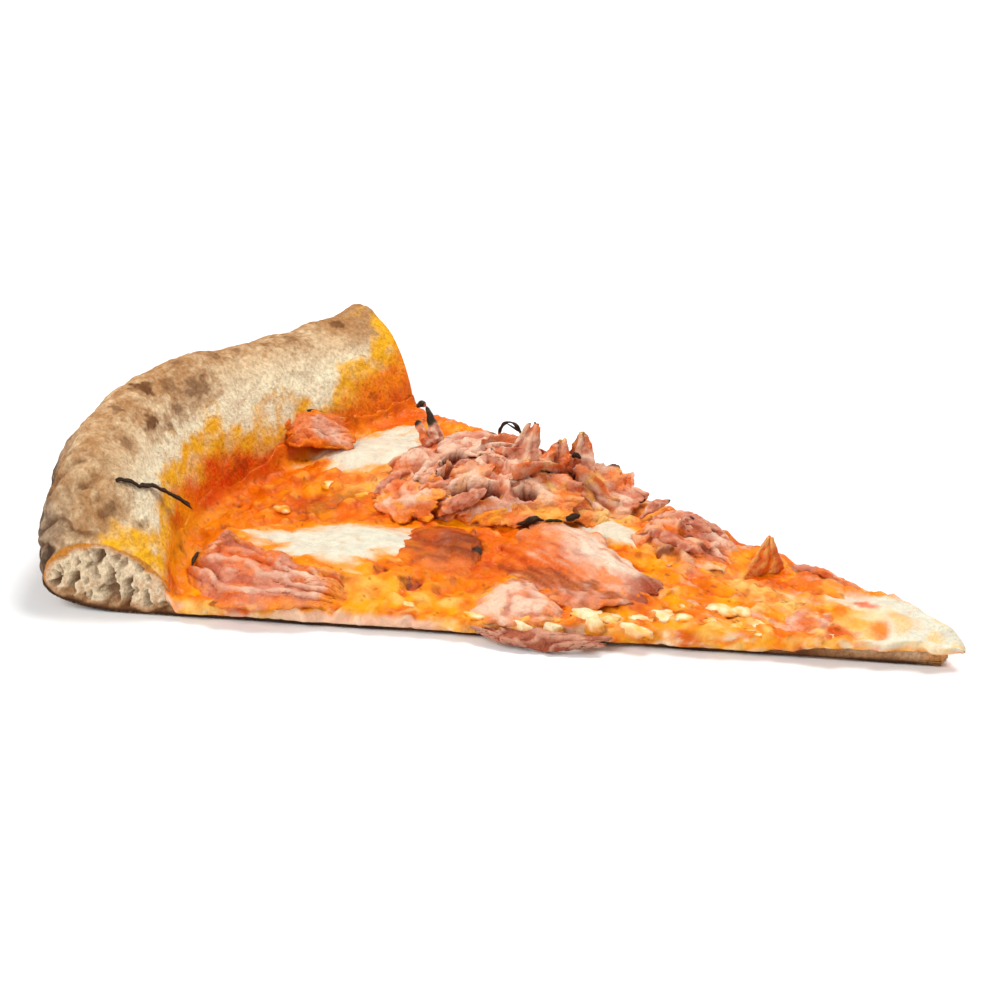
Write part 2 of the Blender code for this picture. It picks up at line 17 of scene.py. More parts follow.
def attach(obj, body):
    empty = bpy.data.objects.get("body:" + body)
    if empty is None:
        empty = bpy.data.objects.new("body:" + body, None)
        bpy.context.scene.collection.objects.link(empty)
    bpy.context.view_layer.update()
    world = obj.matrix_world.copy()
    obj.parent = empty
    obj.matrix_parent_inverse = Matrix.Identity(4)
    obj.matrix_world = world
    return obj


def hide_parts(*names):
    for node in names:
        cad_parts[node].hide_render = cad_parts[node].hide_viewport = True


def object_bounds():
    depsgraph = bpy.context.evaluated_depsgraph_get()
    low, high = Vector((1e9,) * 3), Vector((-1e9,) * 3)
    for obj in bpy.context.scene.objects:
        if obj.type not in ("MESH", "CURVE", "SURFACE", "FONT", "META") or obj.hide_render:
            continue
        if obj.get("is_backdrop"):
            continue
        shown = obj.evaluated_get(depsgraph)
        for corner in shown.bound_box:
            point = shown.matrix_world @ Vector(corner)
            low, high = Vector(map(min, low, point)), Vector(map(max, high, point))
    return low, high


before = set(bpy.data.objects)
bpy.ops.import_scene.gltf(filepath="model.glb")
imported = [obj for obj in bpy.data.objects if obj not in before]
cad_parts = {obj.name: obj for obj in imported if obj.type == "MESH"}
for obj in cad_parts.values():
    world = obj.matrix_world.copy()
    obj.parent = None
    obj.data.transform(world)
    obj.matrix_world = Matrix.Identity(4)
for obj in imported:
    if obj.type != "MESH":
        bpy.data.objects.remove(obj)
CAD_LOW, CAD_HIGH = (np.array(corner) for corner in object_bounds())

METRES = 0.001

# Slice and rim, as in the CAD source
SLICE_RADIUS = 160.0
SLICE_ANGLE = math.radians(37.0)
TIP_X = 80.0
TIP_SETBACK = 5.0
BOX_CENTRE_X = -1.7
GAP = 0.35
RIM_WIDTH = 23.0
CREST_INSET = 10.0
CURL_LENGTH = 14.0
EQUATOR_SHARE = 0.40
RIM_RADII = (160.5, 163.0, 164.3, 164.5, 162.5, 161.0, 160.0, 159.0, 158.5)
CREST_HEIGHTS = (24.6, 27.2, 27.8, 27.7, 27.1, 24.6, 22.5, 21.4, 21.7)
NEAR_PINCH = 0.46
NEAR_PINCH_LENGTH = 4.5
RIM_RELIEF = 0.9
RIM_RELIEF_SIZE = 13.0
BASE_THICKNESS = 2.6
BASE_RELIEF = 0.35
CHEESE_EDGE = 1.0
CHEESE_BODY = 2.5
CHEESE_RISE_LENGTH = 13.0
CHEESE_LUMP = 0.75
CHEESE_LUMP_SIZE = 11.0
CHEESE_OVERHANG = 1.5
CHEESE_DROOP = 1.3

# Camera of the photograph: aim point on the floor, heading, dip, distance and lens, in mm and degrees
CAMERA_AIM = (-18.547, 22.661, 0.0)
CAMERA_HEADING = -26.4813
CAMERA_DIP = 26.0057
CAMERA_DISTANCE = 700.0
CAMERA_LENS = 136.625

# Stage, in metres and watts: half the floor's width, how far it lies below the slice, and the studio's light
FLOOR_HALF = 3.0
FLOOR_DROP = 0.0002
FLOOR_COLOUR = (0.93, 0.93, 0.93, 1.0)
SKY_STRENGTH = 0.36
# Name, place, size and power
LIGHTS = (("key", (0.13, 0.40, 0.88), 0.5, 8.2), ("fill", (-0.38, -0.68, 0.6), 0.7, 6.8))

# Steps of the dough's grid: along its base, up the rim's inner slope, down its outside, and across the slice,
# closer together up to NEAR_END_SIDE
BASE_STEPS, CLIMB_STEPS, FALL_STEPS = 30, 66, 70
NEAR_END_SIDE, NEAR_END_STEPS, ACROSS_STEPS = -0.88, 32, 170
# Steps of the other grids. A pair is along the form, then across it or round it
CUT_LEVELS = 38
MELT_STEPS = (300, 184)
LIP_STEPS = 15
UNDERSIDE_STEPS = 12
CURD_STEPS = (13, 21)
HEAP_STEPS = (70, 170)
HEAP_PIECE_STEPS = (58, 48)
STRIP_STEPS = (30, 18)
TUBE_STEPS = (34, 21)
SHRED_STEPS = (70, 7)

# Thickness of the ham: a sheet, a piece of the heap or the hanging flap, a strip over the heap, and the
# charred shred
SHEET_THICKNESS = 0.8
FLAP_THICKNESS = 0.7
STRIP_THICKNESS = 0.6
SHRED_THICKNESS = 0.45


# Colours


def srgb(red, green, blue):
    """An sRGB colour of 0 to 255 as linear light."""
    value = np.array((red, green, blue)) / 255.0
    return np.where(value <= 0.04045, value / 12.92, ((value + 0.055) / 1.055) ** 2.4)


FLOUR = srgb(232, 200, 158)
CREAM = srgb(255, 242, 206)
CRUST = srgb(206, 166, 122)
TAN = srgb(176, 124, 76)
BLISTER = srgb(104, 60, 32)
SCORCH = srgb(46, 34, 32)
OUTER = srgb(148, 122, 100)
CRUMB = srgb(222, 184, 148)
# Painted shade down in the crumb's bubbles
CRUMB_HOLE_SHADE = srgb(118, 76, 46)
GOLDEN = srgb(206, 130, 44)
YELLOW = srgb(248, 156, 4)
OIL = srgb(255, 184, 34)
ORANGE = srgb(236, 114, 2)
DEEP_ORANGE = srgb(208, 72, 1)
RED_ORANGE = srgb(226, 56, 1)
PALE = srgb(250, 196, 104)
WHITE = srgb(220, 215, 194)
CURD = srgb(250, 226, 184)
RED_BROWN = srgb(150, 50, 14)
BROWN = srgb(116, 40, 8)
# Dark red of burnt blisters in the melt, also painted shade in the heap's gaps and the ham's hollows
DEPTH = srgb(108, 24, 4)
PINK = srgb(210, 132, 104)
PALE_HAM = srgb(240, 196, 168)
ROSE = srgb(168, 70, 48)
# Ham fat, and also painted highlight on the ridges of ham folds
FAT_AND_HIGHLIGHT = srgb(236, 216, 192)
CHAR = srgb(28, 16, 16)


def mixed(base, colour, mask):
    """base with colour laid over it where mask is 1."""
    mask = np.clip(mask, 0, 1)[..., None]
    return base * (1 - mask) + colour * mask


def layered(tint, *layers):
    """The tint with each (colour, mask) laid over it in turn."""
    for colour, mask in layers:
        tint = mixed(tint, colour, mask)
    return tint


# Shape kernel


def smooth(value):
    """0 below 0, 1 above 1, and an even rise between."""
    t = np.clip(value, 0.0, 1.0)
    return t * t * (3 - 2 * t)


def through(points, steps):
    """A smooth curve through the rows of points, read at evenly spaced steps from 0 to 1."""
    rows = np.asarray(points, float)
    if rows.ndim == 1:
        rows = rows[:, None]
    padded = np.vstack([2 * rows[0] - rows[1], rows, 2 * rows[-1] - rows[-2]])
    reached = np.clip(np.asarray(steps, float), 0, 1) * (len(rows) - 1)
    start = np.minimum(reached.astype(int), len(rows) - 2)
    t = (reached - start)[..., None]
    a, b, c, d = (padded[start + k] for k in range(4))
    curve = 2 * b + (c - a) * t + (2 * a - 5 * b + 4 * c - d) * t**2
    return 0.5 * (curve + (3 * b - a - 3 * c + d) * t**3)


def relief(x, y, z, size, octaves, seed):
    """Fractal noise of about -1 to 1 whose largest lumps are size across."""
    x, y, z = np.broadcast_arrays(x, y, z)
    points = np.stack([x, y, z], axis=-1).reshape(-1, 3) / size + seed
    values = [noise.fractal(p, 1.0, 2.0, octaves) for p in points.tolist()]
    return np.array(values).reshape(x.shape)


def split(points):
    """x, y and z of the points."""
    return np.moveaxis(points, -1, 0)


def relief_at(points, size, octaves, seed):
    return relief(*split(points), size, octaves, seed)


def cells(x, y, z, size, seed):
    """Distances to the nearest and second nearest of scattered points, in units of size."""
    x, y, z = np.broadcast_arrays(x, y, z)
    points = np.stack([x, y, z], axis=-1).reshape(-1, 3) / size + seed
    found = np.array([noise.voronoi(p)[0][:2] for p in points.tolist()])
    return found[:, 0].reshape(x.shape), found[:, 1].reshape(x.shape)


def place(r, side, beyond=0.0):
    """x and y of a point at distance r from the tip, moved sideways past the cut by beyond."""
    angle = side * SLICE_ANGLE / 2
    x = TIP_X - r * np.cos(angle) - np.sign(side) * beyond * np.sin(angle)
    y = r * np.sin(angle) + np.sign(side) * beyond * np.cos(angle)
    return x, y


def polar(x, y):
    """r and side of x, y."""
    r = np.hypot(TIP_X - x, y)
    return r, np.arctan2(y, TIP_X - x) / (SLICE_ANGLE / 2)


def from_near_cut(r, side):
    """Distance round the tip from the -Y cut."""
    return (side + 1) / 2 * SLICE_ANGLE * r


def turned(dx, dy, heading):
    """dx, dy measured along and across a heading in radians."""
    cosine, sine = math.cos(heading), math.sin(heading)
    return dx * cosine + dy * sine, dy * cosine - dx * sine


def blob(x, y, centre, length, width, heading, soft, warp, size=5.0):
    """1 inside an uneven oval and 0 outside it, with a soft border."""
    along, across = turned(x - centre[0], y - centre[1], math.radians(heading))
    edge = np.hypot(along / (length / 2), across / (width / 2)) + warp * relief(x, y, 0, size, 3, centre[0])
    return smooth((1 + soft - edge) / (2 * soft))


def normals_of(grid):
    """Unit normals of a grid of points, flipped together if on the whole they point down."""
    normal = np.cross(np.gradient(grid, axis=0), np.gradient(grid, axis=1))
    normal /= np.maximum(np.linalg.norm(normal, axis=-1, keepdims=True), 1e-9)
    return normal * (1 if normal[..., 2].mean() >= 0 else -1)


# Pieces


def add_piece(name, replaced, grids, material):
    """One closed mesh from grids of (points, tint, wet), welded where they meet, riding on the part.

    A point that noise carried past the CAD's box is brought back to it.
    """
    points = np.concatenate([g[0].reshape(-1, 3) for g in grids])
    tint = np.concatenate([np.broadcast_to(g[1], g[0].shape).reshape(-1, 3) for g in grids])
    wet = np.concatenate([np.broadcast_to(g[2], g[0].shape[:2]).reshape(-1) for g in grids])
    world = (points - (BOX_CENTRE_X, 0, 0)) * METRES
    world = np.clip(world, CAD_LOW, CAD_HIGH)
    quads, start = [], 0
    for grid in grids:
        rows, columns = grid[0].shape[:2]
        index = start + np.arange(rows * columns).reshape(rows, columns)
        corners = (index[:-1, :-1], index[1:, :-1], index[1:, 1:], index[:-1, 1:])
        quads.append(np.stack(corners, axis=-1).reshape(-1, 4))
        start += rows * columns
    quads = np.concatenate(quads)
    mesh = bpy.data.meshes.new(name)
    mesh.vertices.add(len(world))
    mesh.vertices.foreach_set("co", world.astype(np.float32).ravel())
    mesh.loops.add(quads.size)
    mesh.loops.foreach_set("vertex_index", quads.astype(np.int32).ravel())
    mesh.polygons.add(len(quads))
    mesh.polygons.foreach_set("loop_start", np.arange(0, quads.size, 4, dtype=np.int32))
    mesh.update(calc_edges=True)
    colours = mesh.attributes.new("tint", "FLOAT_COLOR", "POINT")
    colours.data.foreach_set("color", np.column_stack([tint, np.ones(len(tint))]).astype(np.float32).ravel())
    mesh.attributes.new("wet", "FLOAT", "POINT").data.foreach_set("value", wet.astype(np.float32))
    weld(mesh)
    mesh.materials.append(material)
    piece = bpy.data.objects.new(name, mesh)
    bpy.context.scene.collection.objects.link(piece)
    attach(piece, "root")
    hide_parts(*replaced)


def weld(mesh):
    """Joins the grids of a piece where their edges meet, with every face turned outwards."""
    form = bmesh.new()
    form.from_mesh(mesh)
    bmesh.ops.remove_doubles(form, verts=form.verts, dist=2e-6)
    bmesh.ops.dissolve_degenerate(form, edges=form.edges, dist=1e-6)
    bmesh.ops.recalc_face_normals(form, faces=form.faces)
    form.to_mesh(mesh)
    form.free()
    mesh.shade_smooth()


def strip(first, second, rows=2):
    """A grid between two matching edges, each (points, tint, wet)."""
    t = np.linspace(0, 1, rows)
    points = first[0][:, None] * (1 - t[:, None]) + second[0][:, None] * t[:, None]
    tint = first[1][:, None] * (1 - t[:, None]) + second[1][:, None] * t[:, None]
    wet = first[2][:, None] * (1 - t) + second[2][:, None] * t
    return points, tint, wet


def slab(grid, thickness, tint, wet):
    """Grids of a thin sheet about a grid of points, thinner at its edges."""
    normal = normals_of(grid)
    rows, columns = grid.shape[:2]
    edge_a = 1 - np.abs(np.linspace(-1, 1, rows)) ** 8
    edge_b = 1 - np.abs(np.linspace(-1, 1, columns)) ** 8
    half = thickness / 2 * (0.35 + 0.65 * np.minimum(edge_a[:, None], edge_b[None, :]))
    upper = (grid + normal * half[..., None], tint, wet)
    lower = (grid - normal * half[..., None], tint, wet)
    grids = [upper, lower]
    for cut in (np.s_[0], np.s_[-1], np.s_[:, 0], np.s_[:, -1]):
        grids.append(strip([g[cut] for g in upper], [g[cut] for g in lower]))
    return grids


# Dough


def rim_outer(side):
    """Distance of the rim's outer edge from the tip."""
    return through(RIM_RADII, (side + 1) / 2)[..., 0]


def crest_height(side):
    """Height of the rim's crest, squashed down beside the -Y cut where the wheel pressed it."""
    from_cut = from_near_cut(SLICE_RADIUS, side)
    pinch = 1 - NEAR_PINCH * np.exp(-((np.maximum(from_cut, 0) / NEAR_PINCH_LENGTH) ** 1.5))
    return through(CREST_HEIGHTS, (side + 1) / 2)[..., 0] * pinch


def dough_sections(r, side):
    """Bottom and top height of the dough at distance r from the tip."""
    outer, crest = rim_outer(side), crest_height(side)
    equator = EQUATOR_SHARE * crest
    inner, top_r = outer - RIM_WIDTH, outer - CREST_INSET
    climb = np.clip((r - inner) / (top_r - inner), 0, 1)
    fall = np.clip((r - top_r) / CREST_INSET, 0, 1)
    slope = (1 - (1 - climb) ** 1.8) ** 0.62
    flat = BASE_THICKNESS + (crest - BASE_THICKNESS) * slope
    over = equator + (crest - equator) * np.sqrt(np.clip(1 - fall**2, 0, 1))
    top = np.where(r < top_r, flat, over)
    bottom = equator * (1 - np.sqrt(np.clip(1 - curl_share(r, side) ** 2, 0, 1)))
    return bottom, top


def base_relief(x, y):
    """Height of the base's broad unevenness."""
    return relief(x, y, 0, 16.0, 2, 7.7) * BASE_RELIEF


def rim_share(r, side):
    """0 on the flat base and 1 on the rim, as the rim's relief fades in."""
    return smooth((r - rim_outer(side) + RIM_WIDTH + 3) / 8)


# Browned and blistered spots on the rim: x, y, z, size across and darkness. Behind BACK_X they are weaker
BACK_X = -74
RIM_SPOTS = (
    (-73, -15, 27, 4.2, 0.9), (-71, -10, 26, 3.0, 0.6), (-67.5, -22, 24, 3.4, 0.9), (-68, -12, 23, 2.6, 0.6),
    (-68.5, -4, 24, 4.6, 0.6), (-62.5, -44, 18, 3.6, 0.6), (-58, -42, 15, 1.6, 0.8), (-66, -32, 25, 2.6, 0.5),
    (-70, -23, 26, 2.4, 0.7), (-72, -25, 27, 3.0, 0.6), (-71, 6, 26, 3.0, 0.5), (-66, 26, 21, 3.2, 0.5),
    (-63, 39, 21, 2.8, 0.7), (-68, 20, 23, 2.6, 0.5), (-77, -33, 24, 4.0, 0.8), (-73, -42, 21, 3.6, 0.6),
    (-75, 5, 25, 4.5, 0.7), (-71, 32, 22, 4.0, 0.8), (-79, -8, 24, 5.0, 0.8), (-76, 14, 23, 4.5, 0.7),
    (-69, -37, 25, 2.2, 0.5), (-73, -3, 27, 2.6, 0.5), (-70, 13, 25, 2.4, 0.5), (-80, 2, 18, 5.0, 0.9),
    (-67, 44, 20, 3.0, 0.7), (-80, -22, 20, 5.0, 0.9), (-74, 24, 20, 4.0, 0.8), (-66, -17, 22, 1.8, 0.6),
)


def near_point(points, centre, size, seed):
    """1 about a point on the skin and 0 away from it, with a torn border."""
    x, y, z = split(points)
    away = np.sqrt((x - centre[0]) ** 2 + ((y - centre[1]) / 1.3) ** 2 + (z - centre[2]) ** 2) / (size / 2)
    mask = np.zeros(x.shape)
    close = away < 2.4
    edge = away[close] + 0.75 * relief(x[close], y[close], z[close], 1.6, 3, seed)
    mask[close] = smooth((1.25 - edge) / 0.5)
    return mask


def dough_colour(points, side, r):
    """Colour and wetness of the dough's skin: flour, tan mottling, blisters, oil stains, scorched outside."""
    x, y, z = split(points)
    outer, crest = rim_outer(side), crest_height(side)
    mottle, grain = relief(x, y, z, 9.0, 3, 3.0), relief(x, y, z, 1.5, 3, 8.0)
    crest_line = smooth(1 - np.abs(r - outer + CREST_INSET - 2.5) / 5)
    inner_slope = smooth((outer - 10.5 - r) / 5)
    down_outside = smooth((r - outer + CREST_INSET * 0.8) / 7) * smooth((crest * 1.05 - z) / (0.45 * crest))
    near_end = smooth((-0.3 - side) / 0.5)
    ends = smooth((np.abs(side + 0.1) - 0.8) / 0.15) * smooth((z - 0.75 * crest) / 3)
    crease = smooth((np.abs(end_folds(side, z, r)) - 0.12) / -0.1) * on_near_end(r, side)
    burnt = 0.9 * relief(x, y, z, 12.0, 3, 48.0) + 0.5 * mottle + 0.9 * grain - 0.1 + 0.45 * near_end
    scorched = smooth((down_outside - 0.66 + 0.3 * mottle + 0.2 * near_end) / 0.35) * smooth(burnt + 0.35)
    tint = layered(
        np.broadcast_to(FLOUR, points.shape),
        (CRUST, smooth(0.72 + 0.5 * mottle + 0.9 * grain)),
        (TAN, smooth(1.9 * relief(x, y, z, 2.0, 3, 12.0) + 0.3 * mottle - 0.15) * 0.6),
        (TAN, smooth(0.35 + 1.4 * relief(x, y, z, 5.0, 3, 18.0)) * crest_line * 0.65),
        # Flour and cream up the inner slope: partly its own paler colour, partly painted light on the side
        # that faces the tip
        (FLOUR, inner_slope * (0.85 + 0.3 * grain)),
        (CREAM, smooth((outer - 14 - r) / 5) * 0.9),
        (TAN, smooth(1.8 * grain - 0.25) * 0.5 * (1 - 0.85 * inner_slope)),
        (OUTER, down_outside * 0.9 + 0.3 * mottle * down_outside),
        (OUTER, near_end * smooth((r - outer + 9) / 8) * (0.55 + 0.5 * grain)),
        # Painted shade along the creases pressed into the -Y end
        (BLISTER, crease * 0.7),
        (TAN, ends * smooth(side) * 0.8),
        (SCORCH, scorched * 0.75),
    )
    for number, (*centre, size, dark) in enumerate(RIM_SPOTS):
        outside = 1 - 0.6 * (centre[0] < BACK_X)
        tint = mixed(tint, TAN, near_point(points, centre, size * 1.9, number) * 0.6 * outside)
        tint = mixed(tint, BLISTER, near_point(points, centre, size * 0.9, number + 50.0) * dark * outside)
    yellow, orange = stains(x, y, z, side)
    tint = layered(tint, (OIL, yellow), (sauce_colour(x, y, z) * 1.15, orange))
    return tint, np.clip(0.05 + 0.35 * yellow + 0.9 * orange, 0, 1)


# Heights that the oil and the sauce stained up the rim's inner slope, at even steps from the -Y cut
YELLOW_HEIGHTS = (13.5, 17.0, 19.0, 18.5, 17.0, 14.5, 14.5, 17.5, 22.5)
ORANGE_HEIGHTS = (9.5, 12.0, 15.0, 15.0, 13.5, 11.5, 11.5, 14.0, 18.5)


def stains(x, y, z, side):
    """Masks of the yellow oil and the orange sauce on the dough."""
    share = (side + 1) / 2
    warp = 4.5 * relief(x, y, z, 7.0, 3, 21.0) + 1.2 * relief(x, y, z, 2.0, 2, 22.0)
    high = through(YELLOW_HEIGHTS, share)[..., 0] + warp
    low = through(ORANGE_HEIGHTS, share)[..., 0] + 0.6 * warp
    inside = smooth((rim_outer(side) - CREST_INSET + 1.5 - np.hypot(TIP_X - x, y)) / 3)
    patches = smooth(0.75 + 0.9 * relief(x, y, z, 3.2, 3, 25.0))
    return smooth((high + 1.0 - z) / 3.2) * inside * (0.6 + 0.4 * patches), smooth((low - z) / 4.0) * inside


# Bubbles of the crumb, from large to small: size, share of it that is open, depth and seed
CRUMB_HOLES = ((4.4, 0.35, 2.7, 4.0), (2.6, 0.38, 2.1, 9.0), (1.4, 0.38, 1.1, 13.0))


def crumb_face(points, side, r):
    """The cut rim: how deep its bubbles reach, their colour with painted shade and highlight, and their
    wetness.
    """
    x, y, z = split(points)
    bottom, top = dough_sections(r, side)
    in_rim = smooth((r - rim_outer(side) + RIM_WIDTH + 2) / 5)
    (low_in, high_in), (low_out, high_out) = dough_sections(r - 0.4, side), dough_sections(r + 0.4, side)
    under, over = np.hypot(1, (low_out - low_in) / 0.8), np.hypot(1, (high_out - high_in) / 0.8)
    open_crumb = smooth((np.minimum((z - bottom) / under, (top - z) / over) - 0.9) / 1.0) * in_rim
    warp = 0.9 * relief(r, z, side * 5.0, 2.4, 2, 5.0)
    holes, wall_highlight = np.zeros(r.shape), np.zeros(r.shape)
    for size, share, reach, seed in CRUMB_HOLES:
        near, _ = cells(r + warp, z / 2.2 + 0.3 * r + 0.5 * warp, side * 7.0, size, seed)
        limit = share + 0.16 * relief(r, z, side * 9.0, size * 1.5, 1, seed + 1.0)
        holes = np.maximum(holes, reach * smooth((limit - near) / 0.11))
        wall_highlight = np.maximum(wall_highlight, smooth((0.2 - np.abs(near - limit)) / 0.12))
    depth = open_crumb * (holes + 0.25 * relief(x, y, z, 1.6, 2, 2.0))
    mottle = relief(x, y, z, 3.5, 2, 6.0)
    tint = layered(
        np.broadcast_to(CRUMB, points.shape),
        (CRUST, smooth(0.3 + 0.6 * mottle) * 0.5),
        # Painted highlight on the rims of the bubbles and painted shade down in them
        (CREAM, wall_highlight * open_crumb * 0.5),
        (CRUMB_HOLE_SHADE, np.clip(open_crumb * holes / 1.7, 0, 1) * 0.8),
        (GOLDEN, smooth((1.2 + 0.9 * mottle - (top - z) / over) / 0.8) * in_rim * 0.95),
        (TAN, smooth((2.6 + 2.5 * mottle - (z - bottom)) / 1.2) * 0.7),
        (BLISTER, smooth((1.3 + 1.4 * mottle - (z - bottom)) / 0.8) * 0.9),
        (BLISTER, (1 - in_rim) * 0.75 * (1 - 0.75 * smooth((x - 46) / 16))),
        (SCORCH, smooth((0.75 + 0.4 * mottle - (z - bottom)) / 0.4) * 0.9),
    )
    return np.maximum(depth, 0), tint, np.full(r.shape, 0.1)


def end_folds(side, z, r):
    """Noise whose zero lines are the creases pressed into the rim's -Y end."""
    return relief(side * 24.0 + 0.04 * z, z * 0.1, r * 0.15, 1.9, 3, 33.0)


def on_near_end(r, side):
    """1 on the rim's crest and outside near the -Y cut, where the creases are."""
    return smooth((-0.5 - side) / 0.3) * smooth((r - rim_outer(side) + 12) / 5)


def dough_grids():
    """The dough's skin, underside, cut faces and tip face."""
    flat, climb = (np.linspace(0, 1, steps)[:-1] for steps in (BASE_STEPS, CLIMB_STEPS))
    before = np.concatenate([flat, 1 + climb, np.full(FALL_STEPS, 2.0)])
    after = np.concatenate([np.zeros(len(flat) + len(climb)), np.linspace(0, 1, FALL_STEPS)])
    near_end = np.linspace(-1, NEAR_END_SIDE, NEAR_END_STEPS)[:-1]
    across = np.concatenate([near_end, np.linspace(NEAR_END_SIDE, 1, ACROSS_STEPS)])
    before, side = np.meshgrid(before, across, indexing="ij")
    after, _ = np.meshgrid(after, across, indexing="ij")
    outer = rim_outer(side)
    inner = outer - RIM_WIDTH
    r = TIP_SETBACK + (inner - TIP_SETBACK) * np.clip(before, 0, 1)
    r = r + (RIM_WIDTH - CREST_INSET) * np.clip(before - 1, 0, 1) ** 1.6
    r = r + CREST_INSET * np.sin(after * math.pi / 2)
    bottom, top = dough_sections(r, side)
    x, y = place(r, side)
    rim = rim_share(r, side)
    lump = relief(x, y, top, RIM_RELIEF_SIZE, 3, 3.1) * rim * RIM_RELIEF
    roundness = np.sin(after * math.pi / 2)
    top = top + (lump + base_relief(x, y) * (1 - rim)) * (1 - roundness)
    r = r + lump * roundness
    x, y = place(r, side)
    upper = np.stack([x, y, top], axis=-1)
    tint, wet = dough_colour(upper, side, r)
    detail = 0.5 * relief(x, y, top, 5.0, 3, 14.0) + 0.2 * relief(x, y, top, 1.7, 2, 16.0)
    folds = smooth(np.abs(end_folds(side, top, r)) / 0.3) - 0.5
    detail = detail + 0.9 * folds * on_near_end(r, side)
    in_plane = smooth((1 - np.abs(side)) / 0.01)
    shift = normals_of(upper) * (detail * rim * (1 - after**6))[..., None]
    shift[..., :2] *= in_plane[..., None]
    upper = upper + shift
    lower_z = bottom + np.abs(relief(x, y, 0, 24.0, 1, 1.3)) * 0.5 * (1 - roundness)
    lower_z = np.minimum(lower_z, upper[..., 2] - 0.2 * (1 - after**6))
    lower = np.stack([upper[..., 0], upper[..., 1], lower_z], axis=-1)
    lower[-1] = upper[-1]
    scorch = relief(lower[..., 0], lower[..., 1], 0, 14.0, 3, 44.0)
    under = mixed(np.broadcast_to(TAN, lower.shape), CRUST, smooth(0.5 + relief(x, y, 0, 7.0, 3, 45.0)))
    under = mixed(under, SCORCH, smooth((scorch - 0.05) / 0.3) * 0.85)
    blend = smooth((curl_share(r, side) - 0.3) / 0.6)[..., None]
    under = under * (1 - blend) + tint * blend
    grids = [(upper, tint, wet), (lower, under, np.zeros(r.shape))]
    for column, cut in ((0, -1.0), (-1, 1.0)):
        grids.append(cut_face(upper[:, column], lower[:, column], tint[:, column], r[:, column], cut))
    grids.append(strip((upper[0], tint[0], wet[0]), (lower[0], under[0], wet[0] * 0), CUT_LEVELS))
    return grids


def curl_share(r, side):
    """0 where the dough lies flat on the floor and 1 at its outer edge, as its underside curls up."""
    return np.clip((r - rim_outer(side) + CURL_LENGTH) / CURL_LENGTH, 0, 1)


def cut_face(top_edge, bottom_edge, edge_tint, r, cut):
    """A cut face between the skin's edge and the underside's, with its bubbles pushed inwards."""
    t = np.linspace(0, 1, CUT_LEVELS)[:, None]
    points = top_edge[:, None] * (1 - t) + bottom_edge[:, None] * t
    side = np.full(points.shape[:2], cut)
    distance = np.broadcast_to(r[:, None], side.shape)
    depth, tint, wet = crumb_face(points, side, distance)
    tint[:, 0] = edge_tint
    depth[:, 0] = depth[:, -1] = depth[0] = depth[-1] = 0
    points[..., :2] -= outward(cut) * depth[..., None]
    return points, tint, wet


# Melted layer


def sauce_colour(x, y, z):
    """Colour of the sauce and melted cheese."""
    broad = relief(x, y, z, 14.0, 3, 51.0)
    middle = relief(x, y, z, 5.0, 3, 52.0)
    fine = relief(x, y, z, 1.9, 3, 53.0)
    tint = layered(
        np.broadcast_to(ORANGE, (*x.shape, 3)),
        (YELLOW, smooth(0.38 + 1.3 * middle + 0.5 * broad)),
        (DEEP_ORANGE, smooth(1.7 * relief(x, y, z, 6.5, 3, 54.0) + 0.4 * fine) * 0.85),
        (PALE, smooth(2.6 * relief(x, y, z, 3.6, 3, 55.0) + 0.5 * fine - 1.1) * 0.5),
    )
    for centre, length, width, heading, colour, strength in SAUCE_ZONES:
        zone = blob(x, y, centre, length, width, heading, 0.45, 0.55)
        tint = mixed(tint, colour, strength * zone * (0.8 + 0.5 * fine + 0.5 * middle))
    streaks = smooth(2.0 * relief(x * 0.5 + y * 0.2, y * 1.2, z, 3.0, 3, 58.0) - 0.35) * smooth((x - 20) / 12)
    specks = smooth((relief(x, y, z, 2.6, 2, 57.0) - 0.4) / 0.25)
    return layered(tint, (WHITE, streaks * 0.4), (BROWN, specks * 0.4))


# Patches of colour in the melted layer: centre, length, width, heading, colour and strength
SAUCE_ZONES = (
    ((-48.0, 0.0), 62, 40, 90, DEEP_ORANGE, 0.25),
    ((-20.0, -10.0), 40, 26, 20, DEEP_ORANGE, 0.4),
    ((-63.5, -6.0), 40, 9, 88, RED_ORANGE, 0.8),
    ((-55.5, -8.0), 32, 9, 86, ORANGE, 0.75),
    ((-60.5, 12.0), 22, 8, 110, DEEP_ORANGE, 0.6),
    ((-54.0, -21.0), 16, 8, 70, ORANGE, 0.7),
    ((-52.0, -33.0), 12, 14, 70, YELLOW, 0.7),
    ((-58.0, -18.0), 14, 6, 75, YELLOW, 0.6),
    ((-60.0, 20.0), 22, 12, 105, ORANGE, 0.85),
    ((-50.0, 34.0), 26, 18, 80, ORANGE, 0.8),
    ((-47.0, 38.0), 14, 8, 80, DEEP_ORANGE, 0.55),
    ((-41.5, -1.0), 14, 8, 60, BROWN, 0.5),
    ((-40.0, 11.0), 16, 8, 70, PALE, 0.45),
    ((-17.0, -26.5), 38, 11, 18, YELLOW, 0.95),
    ((-8.0, -12.0), 9, 20, 10, DEEP_ORANGE, 0.65),
    ((27.0, -3.0), 26, 14, -30, YELLOW, 0.6),
    ((24.0, -11.0), 7, 12, 40, DEEP_ORANGE, 0.7),
    ((34.0, -9.0), 6, 9, 30, DEEP_ORANGE, 0.6),
    ((33.0, 3.0), 26, 8, -20, ORANGE, 0.7),
    ((42.0, 0.5), 24, 5, -16, PALE, 0.75),
    ((50.0, -4.5), 5, 6, 0, DEEP_ORANGE, 0.7),
    ((2.0, 21.0), 24, 14, -30, PALE, 0.75),
    ((14.0, 21.0), 20, 7, -30, ORANGE, 0.5),
    ((-27.0, -29.0), 24, 5, 18, PALE, 0.4),
)

